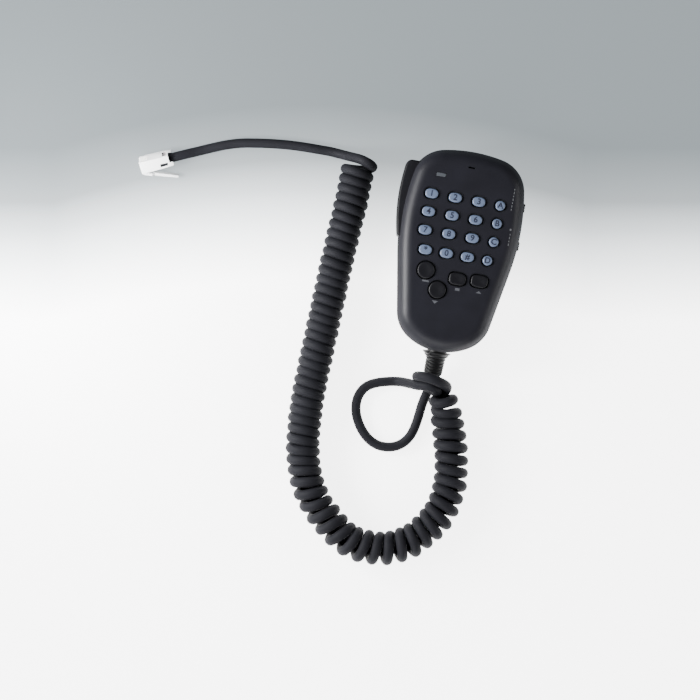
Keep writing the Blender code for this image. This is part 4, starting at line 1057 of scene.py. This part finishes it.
def plug_matrix():
    """Plug frame: X forwards out of the nose, Y across, Z out of the latch side; origin mid rear face."""
    forward = Vector((math.cos(PLUG_HEADING), math.sin(PLUG_HEADING), 0))
    sideways = Vector((-forward.y, forward.x, 0))
    latch = sideways * math.cos(PLUG_ROLL) - Vector((0, 0, 1)) * math.sin(PLUG_ROLL)
    across = latch.cross(forward)
    turn = Matrix((forward, across, latch)).transposed().to_4x4()
    return Matrix.Translation(PLUG_REAR) @ turn


def plug_piece(name, bm, mat, place, body, slot, *nodes):
    bm.transform(place)
    obj = mesh_piece(name, bm, mat)
    place_piece(obj, body, slot, *nodes)
    return obj


def add_plug():
    place = plug_matrix()
    half = PLUG_WIDTH / 2
    depth = PLUG_HEIGHT / 2
    body = bmesh.new()
    rings = []
    for x, low, high, side in ((0, -depth + 0.2 * MM, depth - 0.5 * MM, half - 0.2 * MM),
                               (5 * MM, -depth, depth - 0.3 * MM, half), (PLUG_LENGTH, -depth, depth, half)):
        rings.append([(x, -side, low), (x, side, low), (x, side, high), (x, -side, high)])
    add_loft(body, rings)
    bmesh.ops.bevel(body, geom=body.edges[:], offset=PLUG_BEVEL, segments=2, affect="EDGES",
                    profile=0.5)
    shell = plug_piece("plug_shell", body, CLEAR, place, "body", "clear_plastic", "plug_housing")
    slots = bmesh.new()
    for i in range(CONTACTS):
        y = (i - (CONTACTS - 1) / 2) * CONTACT_PITCH
        add_box(slots, (PLUG_LENGTH - 4.6 * MM, y - 0.3 * MM, -depth - 1 * MM),
                (PLUG_LENGTH + 1 * MM, y + 0.3 * MM, -depth + 1.6 * MM))
    slots.transform(place)
    cut_out(shell, slots)
    add_plug_pockets(shell, place, half, depth)
    add_plug_contacts(place, depth)
    add_plug_latch(place, depth)


def add_plug_pockets(shell, place, half, depth):
    """The cord's entry, open upwards, and the pockets of the two clamps that hold the cord, darkened with
    painted shade.
    """
    entry = bmesh.new()
    add_box(entry, (-1 * MM, -8 * MM, -2.7 * MM), (1.9 * MM, 2.7 * MM, 2.7 * MM))
    entry.transform(place @ Matrix.Rotation(PLUG_ROLL, 4, "X"))
    cut_out(shell, entry)
    core_clamp = bmesh.new()
    add_box(core_clamp, (2.8 * MM, -3.2 * MM, -depth - 1 * MM), (4.9 * MM, 2.2 * MM, -depth + 0.5 * MM))
    core_clamp.transform(place)
    # The core clamp pocket's faces take grey painted shade.
    cut_out(shell, core_clamp, mat=CLAMP_PAINTED_SHADE)
    jacket_clamp = bmesh.new()
    add_box(jacket_clamp, (2.9 * MM, -half - 1 * MM, 0.3 * MM), (7.0 * MM, -half + 1.0 * MM, 1.9 * MM))
    jacket_clamp.transform(place)
    # The jacket clamp pocket's faces take near-black painted shade.
    cut_out(shell, jacket_clamp, mat=SHADE_BLACK)


def add_plug_contacts(place, depth):
    """Six gold blades in the nose."""
    blades = bmesh.new()
    for i in range(CONTACTS):
        y = (i - (CONTACTS - 1) / 2) * CONTACT_PITCH
        add_box(blades, (PLUG_LENGTH - 4.3 * MM, y - 0.16 * MM, -depth + 0.4 * MM),
                (PLUG_LENGTH - 1.3 * MM, y + 0.16 * MM, -depth + 3.1 * MM))
    plug_piece("plug_blades", blades, GOLD, place, "body", "gold_contacts", "plug_contacts")


def add_plug_latch(place, depth):
    """Sprung latch, hinged at the nose and splayed away from the body towards the cord."""
    root = (PLUG_LENGTH - 1.2 * MM, 0, depth + 0.75 * MM)
    bm = bmesh.new()
    rings = []
    for section in LATCH_SECTIONS:
        x, side, thick = (value * MM for value in section)
        rings.append([(x, -side, -thick), (x, side, -thick), (x, side, thick), (x, -side, thick)])
    add_loft(bm, rings)
    turn = Matrix.Translation(root) @ Matrix.Rotation(LATCH_SPLAY, 4, "Y")
    plug_piece("latch", bm, CLEAR, place @ turn, "plug_latch", "clear_plastic", "plug_latch")


# ---------------------------------------------------------------- inner parts

NODE_LOOKS = {
    "circuit_board": BOARD, "keypad_mat": RUBBER, "encoder_chip": BLACK_PLASTIC, "cord_header": WHITE_PLASTIC,
    # The capsule and its boot, seen through the sound slot, take the near-black painted shade.
    "mic_capsule": SHADE_BLACK, "mic_boot": SHADE_BLACK, "indicator_led": BLACK_PLASTIC, "inner_cable": RUBBER,
    "cable_clamp": STEEL, "clamp_screw_left": STEEL, "clamp_screw_right": STEEL, "hanger_button": STEEL,
    "hanger_washer": STEEL, "hanger_screw": STEEL, "ptt_pin": STEEL, "ptt_switch": BLACK_PLASTIC,
    "ptt_plunger": WHITE_PLASTIC, "lamp_switch": BLACK_PLASTIC, "lock_switch": BLACK_PLASTIC,
}


def dress_nodes():
    for name, mat in NODE_LOOKS.items():
        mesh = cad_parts[name].data
        mesh.materials.clear()
        mesh.materials.append(mat)


# ---------------------------------------------------------------- assembly


def main():
    add_camera()
    add_studio()
    cord = add_cord()
    add_boot()
    add_front_cover()
    add_rear_cover()
    add_keys()
    add_lever()
    for name, y in SWITCHES:
        add_knob(name, y)
    add_window()
    add_marks()
    add_side_marks()
    add_screws()
    add_plug()
    dress_nodes()


main()
